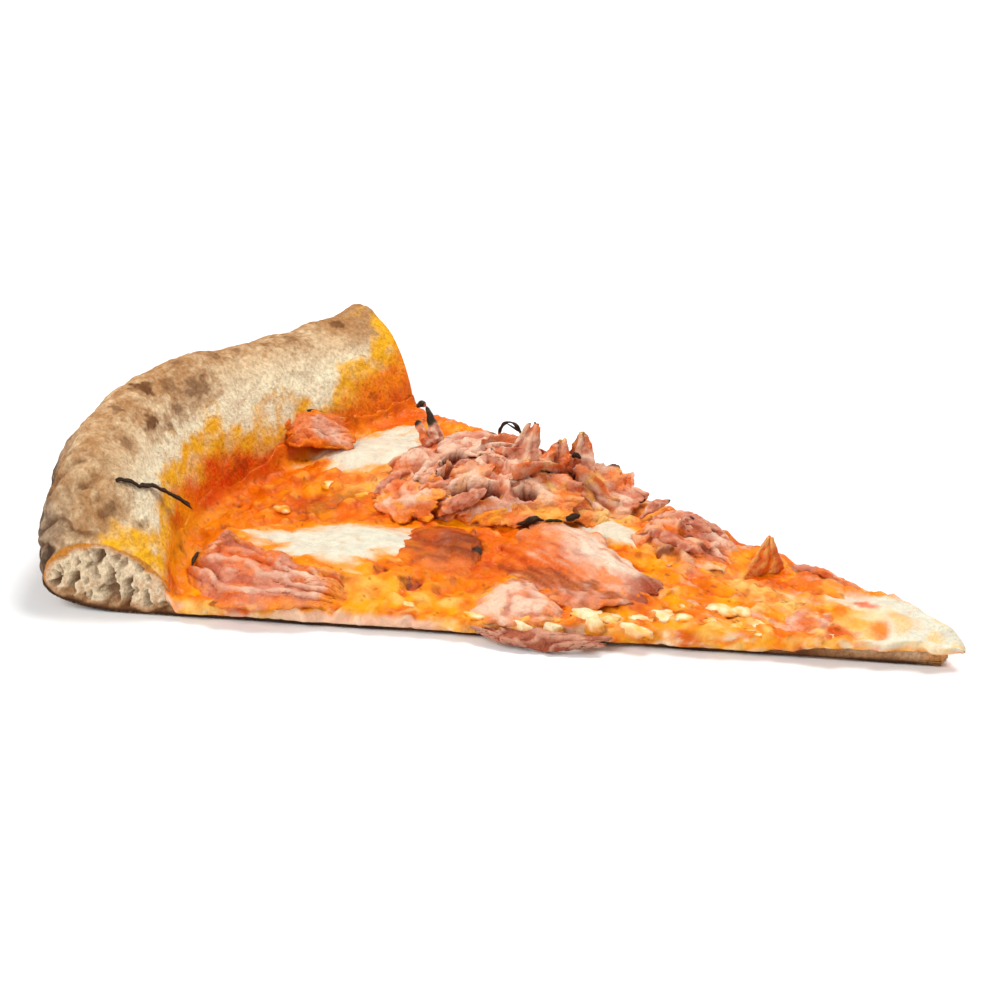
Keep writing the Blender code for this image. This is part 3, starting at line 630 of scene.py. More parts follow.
# Stains on the white tip, in the same terms
TIP_STAINS = (
    ((61.5, -2.0), 10, 7, 0, PALE, 0.5),
    ((58.0, -6.0), 5.5, 4, 0, DEEP_ORANGE, 0.8),
    ((64.8, -4.0), 3.2, 5.5, 0, ORANGE, 0.75),
    ((67.0, 0.0), 6, 2.4, -10, YELLOW, 0.5),
    ((60.5, 1.6), 4.5, 1.8, -20, RED_ORANGE, 0.7),
    ((52.0, 6.5), 16, 2.5, -18, ORANGE, 0.5),
)

# Melted mozzarella: centre, length, width, heading, height and whiteness
POOLS = (
    ((-33.8, -16.2), 29, 13.5, 20, 0.7, 1.0),
    ((-45.0, 23.0), 23, 12, 60, 0.9, 0.95),
    ((5.5, 11.0), 24, 6.5, -28, 0.7, 0.9),
    ((71.5, 0.3), 28, 14, 0, 2.0, 1.0),
)


def pools(x, y):
    """Height and whiteness that the mozzarella adds, and the yellow fringe about it."""
    height, white, fringe = np.zeros(x.shape), np.zeros(x.shape), np.zeros(x.shape)
    for centre, length, width, heading, rise, whiteness in POOLS:
        height = np.maximum(height, rise * blob(x, y, centre, length, width, heading, 0.35, 0.2, 9.0))
        along, across = turned(x - centre[0], y - centre[1], math.radians(heading))
        fibre = relief(along * 0.35, across, centre[0], 2.0, 3, 85.0)
        broad = relief(along * 0.6, across, centre[0], 6.0, 2, 86.0)
        edge = np.hypot(along / (length / 2), across / (width / 2)) + 0.5 * broad + 0.36 * fibre
        white = np.maximum(white, whiteness * smooth((1.22 - edge) / 0.5))
        fringe = np.maximum(fringe, smooth((1.5 - edge) / 0.5))
    return height, white, fringe


# How far the melted layer reaches past the dough's tip, and under the rim's foot
MELT_PAST_TIP = 3.6
MELT_UNDER_RIM = 1.3


def melt_thickness(r, side):
    """Thickness of the melted layer: thin at the -Y cut and where it meets the rim."""
    x, y = place(r, side)
    rise = smooth(from_near_cut(r, side) / CHEESE_RISE_LENGTH)
    body = CHEESE_EDGE + (CHEESE_BODY - CHEESE_EDGE) * rise
    lumps = CHEESE_LUMP * relief(x, y, 0, CHEESE_LUMP_SIZE, 3, 5.5)
    to_rim = smooth((rim_outer(side) - RIM_WIDTH - r + 0.5) / 9.0)
    return 0.55 + (np.maximum(body + lumps, 0.7) - 0.55) * (0.2 + 0.8 * to_rim)


def pillows(x, y):
    """0 along the seams between the melt's small pillows, and more within them."""
    near, second = cells(x, y, 0, 4.2, 61.0)
    return second - near


def melt_height(x, y, detail=True):
    """Top of the melted layer at x, y, with the mozzarella and, if asked, its curdy relief."""
    r, side = polar(x, y)
    side = np.clip(side, -1, 1)
    inner = rim_outer(side) - RIM_WIDTH
    _, top = dough_sections(np.minimum(r, inner), side)
    floor = top + base_relief(x, y) * (1 - rim_share(r, side))
    rise, white, _ = pools(x, y)
    from_near = from_near_cut(r, side)
    size = 4.4 + 2.6 * relief(x, y, 0, 8.0, 3, 66.0) - 2.6 * smooth((8 - from_near) / 8)
    curve = np.clip((r - inner + 0.85 * size) / (0.95 * size), 0, 1)
    fillet = size * (1 - np.sqrt(1 - 0.97 * curve**2))
    at_tip = smooth((x - 50) / 10)
    rise = rise * (1 - at_tip * (1 - smooth((from_near + 0.4) / 4.5)))
    height = floor + GAP + melt_thickness(r, side) + rise + fillet
    end = np.clip((r - TIP_SETBACK + MELT_PAST_TIP) / 2.4, 0, 1)
    height = floor + (height - floor) * (0.45 + 0.55 * np.sqrt(1 - (1 - end) ** 2))
    if not detail:
        return height
    curdy = 0.4 + 0.6 * smooth((17 - from_near) / 9) * smooth((x + 28) / 20)
    calm = (1 - 0.85 * white) * (0.5 + 0.5 * smooth((inner - r) / 3))
    pillow = smooth(pillows(x, y) * 1.8) - 0.45
    folds = (0.5 - np.abs(relief(x * 0.5 + 0.2 * y, y, 0, 5.5, 3, 64.0))) * (1 + smooth((x - 8) / 10))
    wrinkles = 0.5 * relief(x, y, 0, 3.2, 3, 62.0) + 0.3 * relief(x, y, 0, 1.3, 2, 63.0)
    height = height + calm * (0.6 * curdy * pillow + wrinkles + 0.8 * folds)
    for bubble_x, bubble_y, size in BUBBLES:
        reach = np.clip(1 - ((x - bubble_x) ** 2 + (y - bubble_y) ** 2) / size**2, 0, 1)
        height = height + 0.55 * size * np.sqrt(reach)
    for pit_x, pit_y, size in BLISTERS:
        height = height - 0.5 * blob(x, y, (pit_x, pit_y), size, size * 0.8, 30, 0.3, 0.4, 1.5)
    return height


# Bubbles under the melt, and burst dark blisters in it: x, y and size across
BUBBLES = (
    (-51.5, 4.0, 2.2), (-47.5, 8.5, 1.8), (-44.0, 3.5, 1.5), (-55.0, -2.0, 1.7), (-49.0, -3.0, 1.4),
    (-52.0, 12.5, 1.5), (-41.0, 9.0, 1.6), (-46.0, -12.0, 1.2), (-56.0, -14.0, 1.5), (-39.0, -1.0, 1.9),
    (-53.5, -9.0, 1.3), (-58.0, -6.0, 1.3), (-57.0, -20.5, 1.2), (-50.5, -14.5, 1.5), (-43.0, -7.5, 1.1),
    (-30.0, -1.5, 1.4), (22.0, -14.0, 1.3), (34.0, 4.0, 1.3), (44.0, -1.0, 1.4),
)
BLISTERS = (
    (-15.0, -22.6, 4.4), (-21.5, -21.4, 2.6), (-54.0, -19.0, 2.2), (-57.5, -9.0, 1.6), (-45.0, -7.0, 1.8),
)


def melt_grids():
    """The melted layer's top, rolled over both cuts, its hidden underside, and the curds on it."""
    along, across = np.linspace(0, 1, MELT_STEPS[0]), np.linspace(-1, 1, MELT_STEPS[1])
    share, side = np.meshgrid(along, across, indexing="ij")
    start = TIP_SETBACK - MELT_PAST_TIP
    reach = rim_outer(side) - RIM_WIDTH + MELT_UNDER_RIM
    r = start + (reach - start) * (1 - (1 - share) ** 1.25)
    x, y = place(r, side)
    top = np.stack([x, y, melt_height(x, y)], axis=-1)
    tint, wet = melt_colour(top, side, r)
    near = lip(top[:, 0], tint[:, 0], r[:, 0], -1.0)
    far = lip(top[:, -1], tint[:, -1], r[:, -1], 1.0)
    underside = strip([part[:, -1] for part in near], [part[:, -1] for part in far], UNDERSIDE_STEPS)
    grids = [(top, tint, wet), near, far, underside]
    for row in (0, -1):
        edge = np.concatenate([near[0][row, ::-1], top[row, 1:-1], far[0][row]])
        grids.append(fan(edge, underside[0][row], tint[row, 0]))
    for number, (x, y, size, oil) in enumerate(CURDS):
        grids.append(curd(x, y, (size * 1.5, size * 1.1, size * 0.42), number, oil))
    draw = random.Random(11)
    for number in range(EDGE_CURDS):
        r = draw.uniform(22, 100)
        x, y = place(np.array(r), np.array(-1.0), -abs(draw.gauss(0.3, 1.6)))
        size = draw.uniform(0.6, 1.3)
        oil = draw.uniform(0.8, 1.2)
        grids.append(curd(float(x), float(y), (size * 2.0, size, size * 0.4), 40 + number, oil))
    for number, (x, y, z, radii) in enumerate(DRIPS):
        grids.append(curd(x, y, radii, 100 + number, 0.6, z))
    return grids


# Curds that the melt left whole (x, y, size and how far the melt's oil stains them), how many small ones lie
# at random along the near cut, and drips over that cut (x, y, z, radii)
CURDS = (
    (17.0, -18.6, 2.1, 0.35), (21.0, -17.6, 1.7, 0.8), (25.0, -15.6, 1.5, 0.8), (28.6, -13.2, 2.3, 0.35),
    (32.4, -12.6, 1.4, 0.8), (37.4, -7.4, 2.0, 0.8), (40.8, -6.2, 1.6, 0.8), (36.6, -11.4, 1.4, 0.8),
    (41.5, -10.2, 1.2, 0.8), (44.6, -9.0, 1.6, 0.8), (31.0, -8.6, 1.2, 0.8),
    (-45.0, 4.0, 1.6, 1.1), (-49.0, -8.0, 1.3, 1.1), (-38.5, 3.5, 1.4, 1.1),
)
EDGE_CURDS = 7
DRIPS = (
    (5.5, -25.3, 2.6, (4.4, 1.0, 1.5)), (12.2, -23.6, 2.5, (2.8, 1.1, 1.8)),
    (19.4, -21.0, 3.5, (1.9, 1.2, 2.1)), (26.0, -18.8, 3.0, (3.4, 1.0, 1.4)),
)


def curd(x, y, radii, seed, oil, z=None):
    """A lumpy curd, sunk into the melt and stained by it."""
    rise, turn = np.linspace(0, math.pi, CURD_STEPS[0]), np.linspace(0, 2 * math.pi, CURD_STEPS[1])
    rise, turn = np.meshgrid(rise, turn, indexing="ij")
    ball = np.stack([np.sin(rise) * np.cos(turn), np.sin(rise) * np.sin(turn), np.cos(rise)], axis=-1)
    lumps = relief_at(ball, 0.9, 2, seed) + 0.35 * relief_at(ball, 0.4, 2, seed)
    ground = z or float(melt_height(np.array([x]), np.array([y]), detail=False)[0])
    points = ball * (1 + 0.36 * lumps)[..., None] * np.array(radii) + (x, y, ground - 0.05 * radii[2])
    mottle, up = relief_at(points, 1.8, 2, seed), ball[..., 2]
    tint = layered(
        np.broadcast_to(CURD, points.shape),
        (PALE, smooth(0.6 * oil + mottle)),
        (YELLOW, smooth(oil + 0.2 - 0.9 * up + 0.9 * mottle) * (0.3 + 0.6 * oil)),
        (sauce_colour(*split(points)), smooth(oil + 0.1 - 1.3 * up + mottle) * 0.9),
    )
    return points, tint, np.full(rise.shape, 0.7)


def fan(edge, line, tint):
    """A grid that closes an end: down from the edge, then in to a line with fewer points."""
    spread = np.linspace(0, 1, len(edge))
    known = np.linspace(0, 1, len(line))
    matched = np.stack([np.interp(spread, known, line[:, k]) for k in range(3)], axis=-1)
    foot = np.column_stack([edge[:, :2], np.minimum(edge[:, 2], matched[:, 2])])
    points = np.stack([edge, foot, matched], axis=1)
    return points, np.broadcast_to(tint, points.shape), np.zeros(points.shape[:2])


def outward(cut):
    """The direction that leads out of the slice at a cut."""
    return np.array(place(0.0, np.array(cut), 1.0)) - np.array(place(0.0, np.array(cut)))


def lip(edge, tint, r, cut):
    """The rounded edge that hangs over a cut: out, down, and back in under itself."""
    x, y = edge[:, 0], edge[:, 1]
    out = outward(cut)
    wave = 0.55 + 0.45 * relief(x, cut * 50.0, 0, 9.0, 2, 4.0) + 0.45 * relief(x, y, 0, 3.0, 2, 71.0)
    wave = np.clip(wave, 0, 1.2)
    ends = smooth((r - r[0]) / 3) * smooth((r[-1] - r) / 3)
    reach = (GAP * 1.4 + CHEESE_OVERHANG * wave) * (0.15 + 0.85 * ends)
    at_tip = smooth((x - 48) / 10)
    droop = (1.9 - 1.5 * at_tip) * CHEESE_DROOP if cut < 0 else 0.3 * CHEESE_DROOP
    droop = droop * (0.65 + 0.65 * wave) * ends
    low = np.maximum(BASE_THICKNESS + GAP + base_relief(x, y) - droop, 0.75)
    low = np.minimum(low, edge[:, 2] - 0.5)
    turn = np.linspace(0, math.pi, LIP_STEPS)
    push = reach[:, None] * np.sin(turn) ** 0.7
    height = edge[:, 2, None] - (edge[:, 2] - low)[:, None] * (1 - np.cos(turn)) / 2
    along = (x[:, None], y[:, None], height)
    lumps = relief(*along, 3.6, 2, 73.0) + 0.5 * relief(*along, 1.5, 2, 75.0)
    points = np.empty((len(edge), len(turn), 3))
    push = push + 0.85 * lumps * np.sin(turn) * ends[:, None]
    points[..., :2] = edge[:, None, :2] + out * push[..., None]
    points[..., 2] = height
    points[:, -1, :2] -= out * 0.6
    spot = split(points)
    meat = 0.1 - at_tip[:, None] + 0.5 * smooth(-x / 10)[:, None]
    meat = smooth(meat + 1.4 * relief(spot[0], spot[1], spot[2] * 2, 8.0, 3, 76.0))
    colour = layered(
        np.repeat(tint[:, None], len(turn), axis=1),
        (sauce_colour(*spot), smooth(turn / 0.7)),
        (WHITE, pools(x, y)[1][:, None] * smooth((2.6 - turn) / 1.5)),
        (PALE, smooth(0.45 + relief(*spot, 4.0, 3, 74.0)) * smooth(turn / 1.2) * 0.8),
        (CURD, smooth(1.8 * relief(*spot, 2.6, 3, 77.0) - 0.1) * smooth(turn / 1.2) * 0.8),
        (ORANGE, smooth(2.0 * relief(*spot, 3.4, 3, 78.0) - 0.2) * smooth(2.4 - turn) * 0.7),
        (PALE_HAM, meat * smooth((turn - 0.7) / 0.8) * 0.85),
    )
    return points, colour, np.full(points.shape[:2], 0.75)


def melt_colour(points, side, r):
    """Colour and wetness of the melted layer."""
    x, y, z = split(points)
    raised = z - melt_height(x, y, detail=False)
    open_melt = smooth((rim_outer(side) - RIM_WIDTH - 1.5 - r) / 4)
    _, white, fringe = pools(x, y)
    tint = layered(
        sauce_colour(x, y, z),
        (DEEP_ORANGE, smooth((0.15 - raised) / 0.7) * 0.6 * open_melt),
        (RED_ORANGE, smooth((-0.25 - raised) / 0.6) * 0.6 * open_melt),
        (PALE, smooth((raised - 0.8) / 0.6) * 0.35),
        (YELLOW, fringe * 0.8),
        (WHITE, white),
    )
    for centre, length, width, heading, colour, strength in TIP_STAINS:
        tint = mixed(tint, colour, strength * blob(x, y, centre, length, width, heading, 0.5, 0.5, 2.5))
    at_near_edge = smooth((8 - from_near_cut(r, side)) / 6) * smooth((x + 26) / 12)
    tint = mixed(tint, PALE, smooth(pillows(x, y) * 2.2 - 0.3) * at_near_edge * 0.8)
    for bubble_x, bubble_y, size in BUBBLES:
        away = np.hypot(x - bubble_x, y - bubble_y) / size
        tint = mixed(tint, DEEP_ORANGE, smooth(1.6 - away) * 0.6)
        tint = mixed(tint, OIL, smooth(2.2 * (0.8 - away)) * 0.35)
    wet = 0.75 + 0.3 * relief(x, y, z, 5.0, 2, 83.0) - 0.3 * white
    for pit_x, pit_y, size in BLISTERS:
        pit = blob(x, y, (pit_x, pit_y), size, size * 0.9, 30, 0.35, 0.3, 1.2)
        tint = mixed(tint, DEPTH, pit * (0.7 + 0.9 * relief(x, y, z, 0.9, 2, 89.0)))
        wet = wet - 0.8 * pit
    specks = smooth((relief(x, y, z, 1.3, 2, 88.0) - 0.6) / 0.1)
    tint = mixed(tint, BROWN, specks * 0.6 * (1 - 0.8 * white))
    return tint, np.clip(wet, 0.2, 1.0)


# Ham


def rounded_square(rows, columns, roundness):
    """A grid over the unit square whose corners are drawn in towards a circle, and the square grid."""
    u, v = np.meshgrid(np.linspace(-1, 1, rows), np.linspace(-1, 1, columns), indexing="ij")
    return u * np.sqrt(1 - roundness * v**2 / 2), v * np.sqrt(1 - roundness * u**2 / 2), u, v


def crumpled(grid, seed, crumple, size, stretch=1.8):
    """The grid pushed about by sharp folds along its rows, and how far each point lies up a fold."""
    along = np.linalg.norm(grid[-1] - grid[0], axis=-1).mean()
    across = np.linalg.norm(grid[:, -1] - grid[:, 0], axis=-1).mean()
    u, v = np.linspace(0, along, grid.shape[0]), np.linspace(0, across, grid.shape[1])
    u, v = np.meshgrid(u, v, indexing="ij")
    bend = relief(u, v, 0, size * 1.6, 2, seed + 5.0) * size * 0.5
    ridge = 0.5 - np.abs(relief(u / stretch + bend, v + bend, 0, size, 2, seed))
    fine = 0.5 - np.abs(relief(u / stretch, v - bend, 0, size * 0.42, 2, seed + 7.0))
    fold = ridge + 0.26 * fine + 0.06 * relief(u, v, 0, size * 0.2, 2, seed + 9.0)
    return grid + normals_of(grid) * (crumple * 1.7 * (fold - 0.35))[..., None], fold


def ham_sheet(rails, steps, crumple, size, seed, roundness=0.35, ragged=0.2, stretch=1.8):
    """Points of a torn, crumpled sheet between two rails, its fold heights, and 1 at its border."""
    rows, columns = steps
    u, v, square_u, square_v = rounded_square(rows, columns, roundness)
    border = np.maximum(np.abs(square_u), np.abs(square_v))
    angle = np.arctan2(v, u)
    tear = relief(np.cos(angle) * 3, np.sin(angle) * 3, 0, 1.3, 4, seed + 3.0)
    nicks = relief(np.cos(angle) * 3, np.sin(angle) * 3, 0, 0.35, 2, seed + 4.0)
    tear = tear + 0.5 * nicks * smooth(2.0 * tear)
    scale = 1 + ragged * tear * border**2
    a, b = np.clip((u * scale + 1) / 2, -0.1, 1.1), np.clip((v * scale + 1) / 2, -0.1, 1.1)
    near, far = through(rails[0], a), through(rails[1], a)
    middle = near * (1 - b[..., None]) + far * b[..., None]
    points, fold = crumpled(middle, seed, crumple, size, stretch)
    return points, fold, border


def laid(points, border, lift, tuck, fused):
    """The sheet lowered or raised to lie on the melted layer, its border here sunk in it, there curled up."""
    x, y = points[..., 0], points[..., 1]
    ground = melt_height(x, y, detail=False)
    bulge = points[..., 2] - ground
    bulge = bulge - np.median(bulge)
    press = tuck * border**4 * smooth(0.5 + 0.8 * fused + 1.2 * relief(x, y, 0, 6.0, 2, 101.0))
    z = ground + lift + np.maximum(bulge, -0.55 * lift)
    z = z * (1 - press) + (ground + 0.3 - 1.5 * fused + 0.4 * np.maximum(bulge, 0)) * press
    return np.stack([x, y, z], axis=-1)


def ham_colour(points, fold, border, seed, stain, char, pale, char_height=None):
    """Colour and wetness of ham: pale on the folds, orange oil between them, charred tips and borders.

    stain, char and pale shift how much of it is oily, charred and pale. Above char_height it is charred.
    """
    x, y, z = split(points)
    mottle = relief(x, y, z, 4.5, 3, seed + 1.0)
    fibre = relief(x * 0.3, y * 1.3, z, 1.6, 3, seed + 2.0)
    up = smooth((fold - 0.1) / 0.5)
    oil = smooth(stain - 0.15 + 1.2 * relief(x, y, z, 5.5, 3, seed + 6.0) + 0.3 * border**4 - 0.25 * up)
    burn = smooth((border - 0.9) / 0.08 + 2.4 * relief(x, y, z, 3.0, 2, seed + 8.0) - 1.7 + char)
    if char_height is not None:
        burn = np.maximum(burn, smooth(z - char_height + 1.5 * fibre))
    tint = layered(
        np.broadcast_to(PINK, points.shape),
        # Paler up the folds and rose down between them: partly the meat's own mottle, partly painted
        # highlight and painted shade
        (PALE_HAM, smooth(pale - 0.35 + 0.9 * mottle + 0.4 * fibre + 0.6 * up)),
        (ROSE, smooth(0.45 - 1.1 * up + 1.1 * relief(x, y, z, 3.0, 3, seed + 4.0)) * 0.7),
        (ORANGE, oil * 0.7),
        (DEEP_ORANGE, smooth(oil + fibre - 0.55 - 0.3 * up) * 0.75),
        (BROWN, smooth(burn * 1.8) * 0.8),
        (CHAR, burn * 0.97),
    )
    return tint, np.clip(0.7 + 0.3 * mottle - 0.5 * burn, 0.1, 1)


# Patches on a sheet that follow the grain of the meat: colour, whether they are streaks, their two strengths,
# and the terms of the blob. A streak is cut off below the first strength and laid on at the second; a wash is
# the first strength, and the second times the grain
CENTRE_PATCHES = (
    (PALE_HAM, False, 0.7, 0.6, ((12, -4), 30, 12, -28, 0.5, 0.3, 5.0)),
    (ORANGE, False, 0.75, 0.5, ((-2, -5), 12, 18, 10, 0.5, 0.5, 4.0)),
    (FAT_AND_HIGHLIGHT, True, 0.15, 0.85, ((13.5, -1.0), 28, 6.5, -28, 0.5, 0.5, 3.5)),
    (ORANGE, True, 0.1, 0.8, ((6, -10), 34, 10, -8, 0.5, 0.7, 3.0)),
    (DEEP_ORANGE, False, 0.5, 0.8, ((0, -9), 22, 12, -20, 0.6, 0.7, 3.0)),
    (BROWN, True, 0.3, 0.7, ((8, -13.5), 34, 6, 0, 0.5, 0.7, 3.0)),
    (ROSE, False, 0.8, 0.4, ((23.5, -8.5), 6, 13, 10, 0.5, 0.5, 3.0)),
    (RED_BROWN, False, 0.8, 0.4, ((24.5, -9.5), 5, 12, 10, 0.6, 0.6, 3.0)),
)
BROWN_PATCHES = (
    (RED_BROWN, False, 0.6, 0.6, ((-15, -8), 22, 13, 20, 0.6, 0.6, 3.0)),
    (BROWN, False, 0.45, 0.5, ((-11.5, -7.5), 11, 8, 30, 0.6, 0.6, 3.0)),
    (CHAR, False, 1.0, 0.0, ((-8.6, -8.5), 2.6, 1.8, 50, 0.3, 0.7, 1.0)),
)
# Hollows in the right sheet, painted dark as shade: x, y and size
RIGHT_HOLLOWS = ((18.6, 8.0, 3.0), (22.8, 11.6, 1.8), (15.6, 9.0, 2.2), (27.5, 8.6, 1.8), (20.5, 4.4, 2.6))


def patched(tint, x, y, grain, patches):
    """The tint with patches laid over it in turn."""
    for colour, streaky, first, second, oval in patches:
        mask = blob(x, y, *oval)
        mask = smooth(mask + 0.9 * grain - first) * second if streaky else mask * (first + second * grain)
        tint = mixed(tint, colour, mask)
    return tint


# Ways to paint a sheet over its ham colour, which all take the same arguments


def paint_front(tint, points, fold, border):
    # Painted highlight on the fold ridges and painted shade in rose down the valleys
    ridge_highlight = smooth((fold - 0.4) / 0.16) * smooth((0.8 - border) / 0.3)
    return layered(tint, (FAT_AND_HIGHLIGHT, ridge_highlight * 0.3), (ROSE, smooth((0.12 - fold) / 0.2) * 0.6))


def paint_brown(tint, points, fold, border):
    x, y, z = split(points)
    stripes = relief(x * 0.25 + y * 0.1, y * 1.2 - x * 0.3, 0, 2.2, 3, 106.0)
    tint = mixed(tint, sauce_colour(x, y, z), smooth(0.75 - 0.9 * relief(x, y, 0, 6.0, 3, 107.0)))
    return patched(tint, x, y, stripes, BROWN_PATCHES)


def paint_centre(tint, points, fold, border):
    x, y, _ = split(points)
    grain = 1.05 * relief(x * 0.2 - y * 0.1, y * 1.1 + x * 0.55, 0, 1.9, 3, 105.0)
    return patched(tint, x, y, grain, CENTRE_PATCHES)


def paint_right(tint, points, fold, border):
    x, y, z = split(points)
    glaze = smooth(0.35 + 1.2 * relief(x, y, z, 4.0, 3, 113.0) + smooth((10 - y) / 6))
    # The melt's glaze, and painted highlight on the fold tops
    tint = layered(tint, (sauce_colour(x, y, z), glaze * 0.75), (FAT_AND_HIGHLIGHT, smooth((fold - 0.36) / 0.2) * 0.35))
    # Painted shade in the hollows
    for *centre, size in RIGHT_HOLLOWS:
        tint = mixed(tint, DEPTH, blob(x, y, centre, size * 1.4, size * 0.6, 20, 0.5, 0.7, 1.8) * 0.85)
    return tint


def glazed(strength):
    """A way to paint a sheet that the melt has run over."""

    def paint(tint, points, fold, border):
        glaze = smooth(0.75 + 0.9 * relief_at(points, 4.5, 3, 108.0)) * strength
        return mixed(tint, sauce_colour(*split(points)), glaze)

    return paint


# Ham sheets on the melt: CAD node, rails (x, y, z), shreds on them (as in HEAP_SHREDS), shape (steps, how
# high and how wide its folds are, how long they run), how it lies (lift, how far its border is tucked in and
# fused), and colour
SHEETS = {
    "ham_front": dict(
        rails=(
            [(-53, -37, 7), (-46, -42, 5), (-38, -42, 4), (-30, -39, 4), (-22, -34.5, 4)],
            [(-53, -27, 9), (-47, -24, 9), (-39, -26, 8), (-31, -27, 8), (-23, -28.5, 7)],
        ),
        shreds=(
            ([(-52.6, -31.0, 6.4), (-52.2, -33.3, 6.2), (-51.6, -35.4, 5.4)], (0.25, 0.45, 0.25), 0.0),
            ([(-51.0, -28.8, 6.8), (-49.0, -27.6, 7.0)], (0.2, 0.35), 0.0),
        ),
        steps=(120, 64), crumple=1.45, size=3.6, seed=1.0, stretch=4.0, lift=1.4, tuck=1.0,
        stain=0.5, char=0.2, fused=0.6, pale=-0.15, paint=paint_front,
    ),
    "ham_brown": dict(
        rails=(
            [(-23, -17, 6), (-16, -19.5, 5), (-10, -20, 5), (-6, -17, 5)],
            [(-25, -5, 8), (-18, -1.5, 9), (-12, -3, 9), (-8, -9, 8)],
        ),
        steps=(64, 70), crumple=0.6, size=5.0, seed=2.0, lift=0.35, tuck=1.0,
        stain=1.3, char=-0.9, fused=1.0, pale=-0.2, paint=paint_brown,
    ),
    "ham_edge": dict(
        rails=(
            [(-4, -26, 4), (2, -27.5, 4), (8, -25.5, 4), (14.5, -22.5, 4)],
            [(0, -14, 8), (4, -15, 8), (9, -18, 7), (14.5, -20.5, 6)],
        ),
        steps=(60, 44), crumple=0.8, size=5.5, seed=3.0, lift=1.1, tuck=0.9,
        stain=0.2, char=-0.9, fused=0.8, pale=0.9,
    ),
    "ham_centre": dict(
        rails=(
            [(-7, -8, 6), (3, -15.5, 6.5), (13, -18.5, 6), (24, -14.5, 6)],
            [(-5, 5, 9), (5, 7, 8.5), (15, 1, 7.5), (26, -5, 7)],
        ),
        shreds=(
            ([(-7.2, 2.4, 6.8), (-5.6, 3.0, 7.2), (-4.2, 4.0, 7.8), (-2.4, 4.8, 7.6)],
             (0.3, 0.7, 0.9, 0.4), 0.0),
            ([(-2.6, 4.6, 7.5), (-0.8, 5.0, 7.9), (0.8, 5.4, 7.9)], (0.3, 0.55, 0.3), 0.0),
            ([(1.0, 5.8, 8.0), (2.2, 6.2, 8.7), (3.8, 6.4, 9.3)], (0.4, 0.9, 0.4), 0.0),
            ([(-12.7, -7, 3.8), (-12.2, -8.6, 4.4), (-12.5, -9.6, 4.2)], (0.4, 0.7, 0.4), 0.0),
        ),
        steps=(96, 72), crumple=0.75, size=7.0, seed=4.0, stretch=3.0, lift=1.1, tuck=0.9,
        stain=0.3, char=-0.6, fused=0.35, pale=0.2, paint=paint_centre,
    ),
    "ham_rim": dict(
        rails=(
            [(-56.8, 9.5, 8.0), (-54.0, 14, 7.6), (-47, 18.5, 6.0)],
            [(-60.8, 12.5, 12.4), (-59.2, 18.5, 12.2), (-53.5, 24, 9.2)],
        ),
        shreds=(
            ([(-60.8, 12.4, 12.0), (-60.4, 14.4, 12.5), (-59.8, 16.6, 12.2)], (0.3, 0.6, 0.3), 0.0),
            ([(-59.4, 17.6, 12.1), (-58.0, 19.6, 11.6), (-56.4, 21.6, 10.7)], (0.25, 0.5, 0.25), 0.0),
        ),
        steps=(64, 52), crumple=1.0, size=3.6, seed=5.0, stretch=2.6,
        stain=0.9, char=0.35, fused=1.0, pale=0.1,
    ),
    "ham_right": dict(
        rails=(
            [(12, 7.5, 8), (19, 4, 8), (26, 2.5, 8), (33, 3, 7)],
            [(15, 19.5, 9), (20, 18, 9), (26, 16, 8.5), (32, 13, 7.5)],
        ),
        shreds=(
            ([(13, 16.5, 6.2), (19, 17.5, 7.4), (25, 15.8, 7.2), (30, 13, 6.4)], (0.9, 1.5, 1.4, 0.8), 2.0),
            ([(15, 10, 6.5), (19, 7.5, 8.2), (24, 6, 8.2), (28, 6, 7.4)], (0.8, 1.5, 1.5, 0.7), 2.0),
            ([(17, 6.5, 6.2), (20, 5.2, 6.4), (24, 4.6, 6.2)], (0.3, 0.7, 0.4), 0.0),
            ([(20, 14, 9.2), (23, 12, 9.8), (27, 11.5, 8.8)], (0.6, 1.3, 0.7), 2.0),
            ([(22.2, 12.4, 10.2), (23.4, 12, 10.3)], (0.4, 0.4), 0.0),
            ([(11, 16, 6), (13, 18.5, 8), (15, 20.5, 8.6)], (0.6, 1.2, 0.5), 0.8),
        ),
        steps=(76, 60), crumple=1.9, size=5.0, seed=6.0, lift=1.6, tuck=0.7,
        stain=0.55, char=0.1, fused=0.7, pale=0.55, paint=paint_right,
    ),
    "ham_strip": dict(
        rails=(
            [(43, 3.5, 6), (49, 3.0, 6), (56, 2.3, 6)],
            [(44.5, 10, 7), (50, 9.2, 6.5), (57, 7, 6)],
        ),
        shreds=(
            ([(43, 9.6, 6.6), (48, 9.4, 6.9), (53, 8.2, 6.6), (58, 6.4, 6.2)], (0.8, 1.0, 0.8, 0.3), 2.0),
        ),
        steps=(48, 32), crumple=0.7, size=4.0, seed=7.0, lift=0.6, tuck=0.8,
        stain=1.2, char=-0.2, fused=0.9, pale=0.1, paint=glazed(0.9),
    ),
    "ham_tip": dict(
        rails=(
            [(47, -8.5, 5), (52, -8.4, 5), (57.5, -6.4, 5)],
            [(48, -1, 6), (52, 0.5, 6), (57, 0.4, 6)],
        ),
        steps=(40, 34), crumple=0.5, size=3.6, seed=8.0, lift=0.3, tuck=1.0,
        stain=0.5, char=-0.9, fused=1.0, pale=0.7, paint=glazed(0.55),
    ),
}


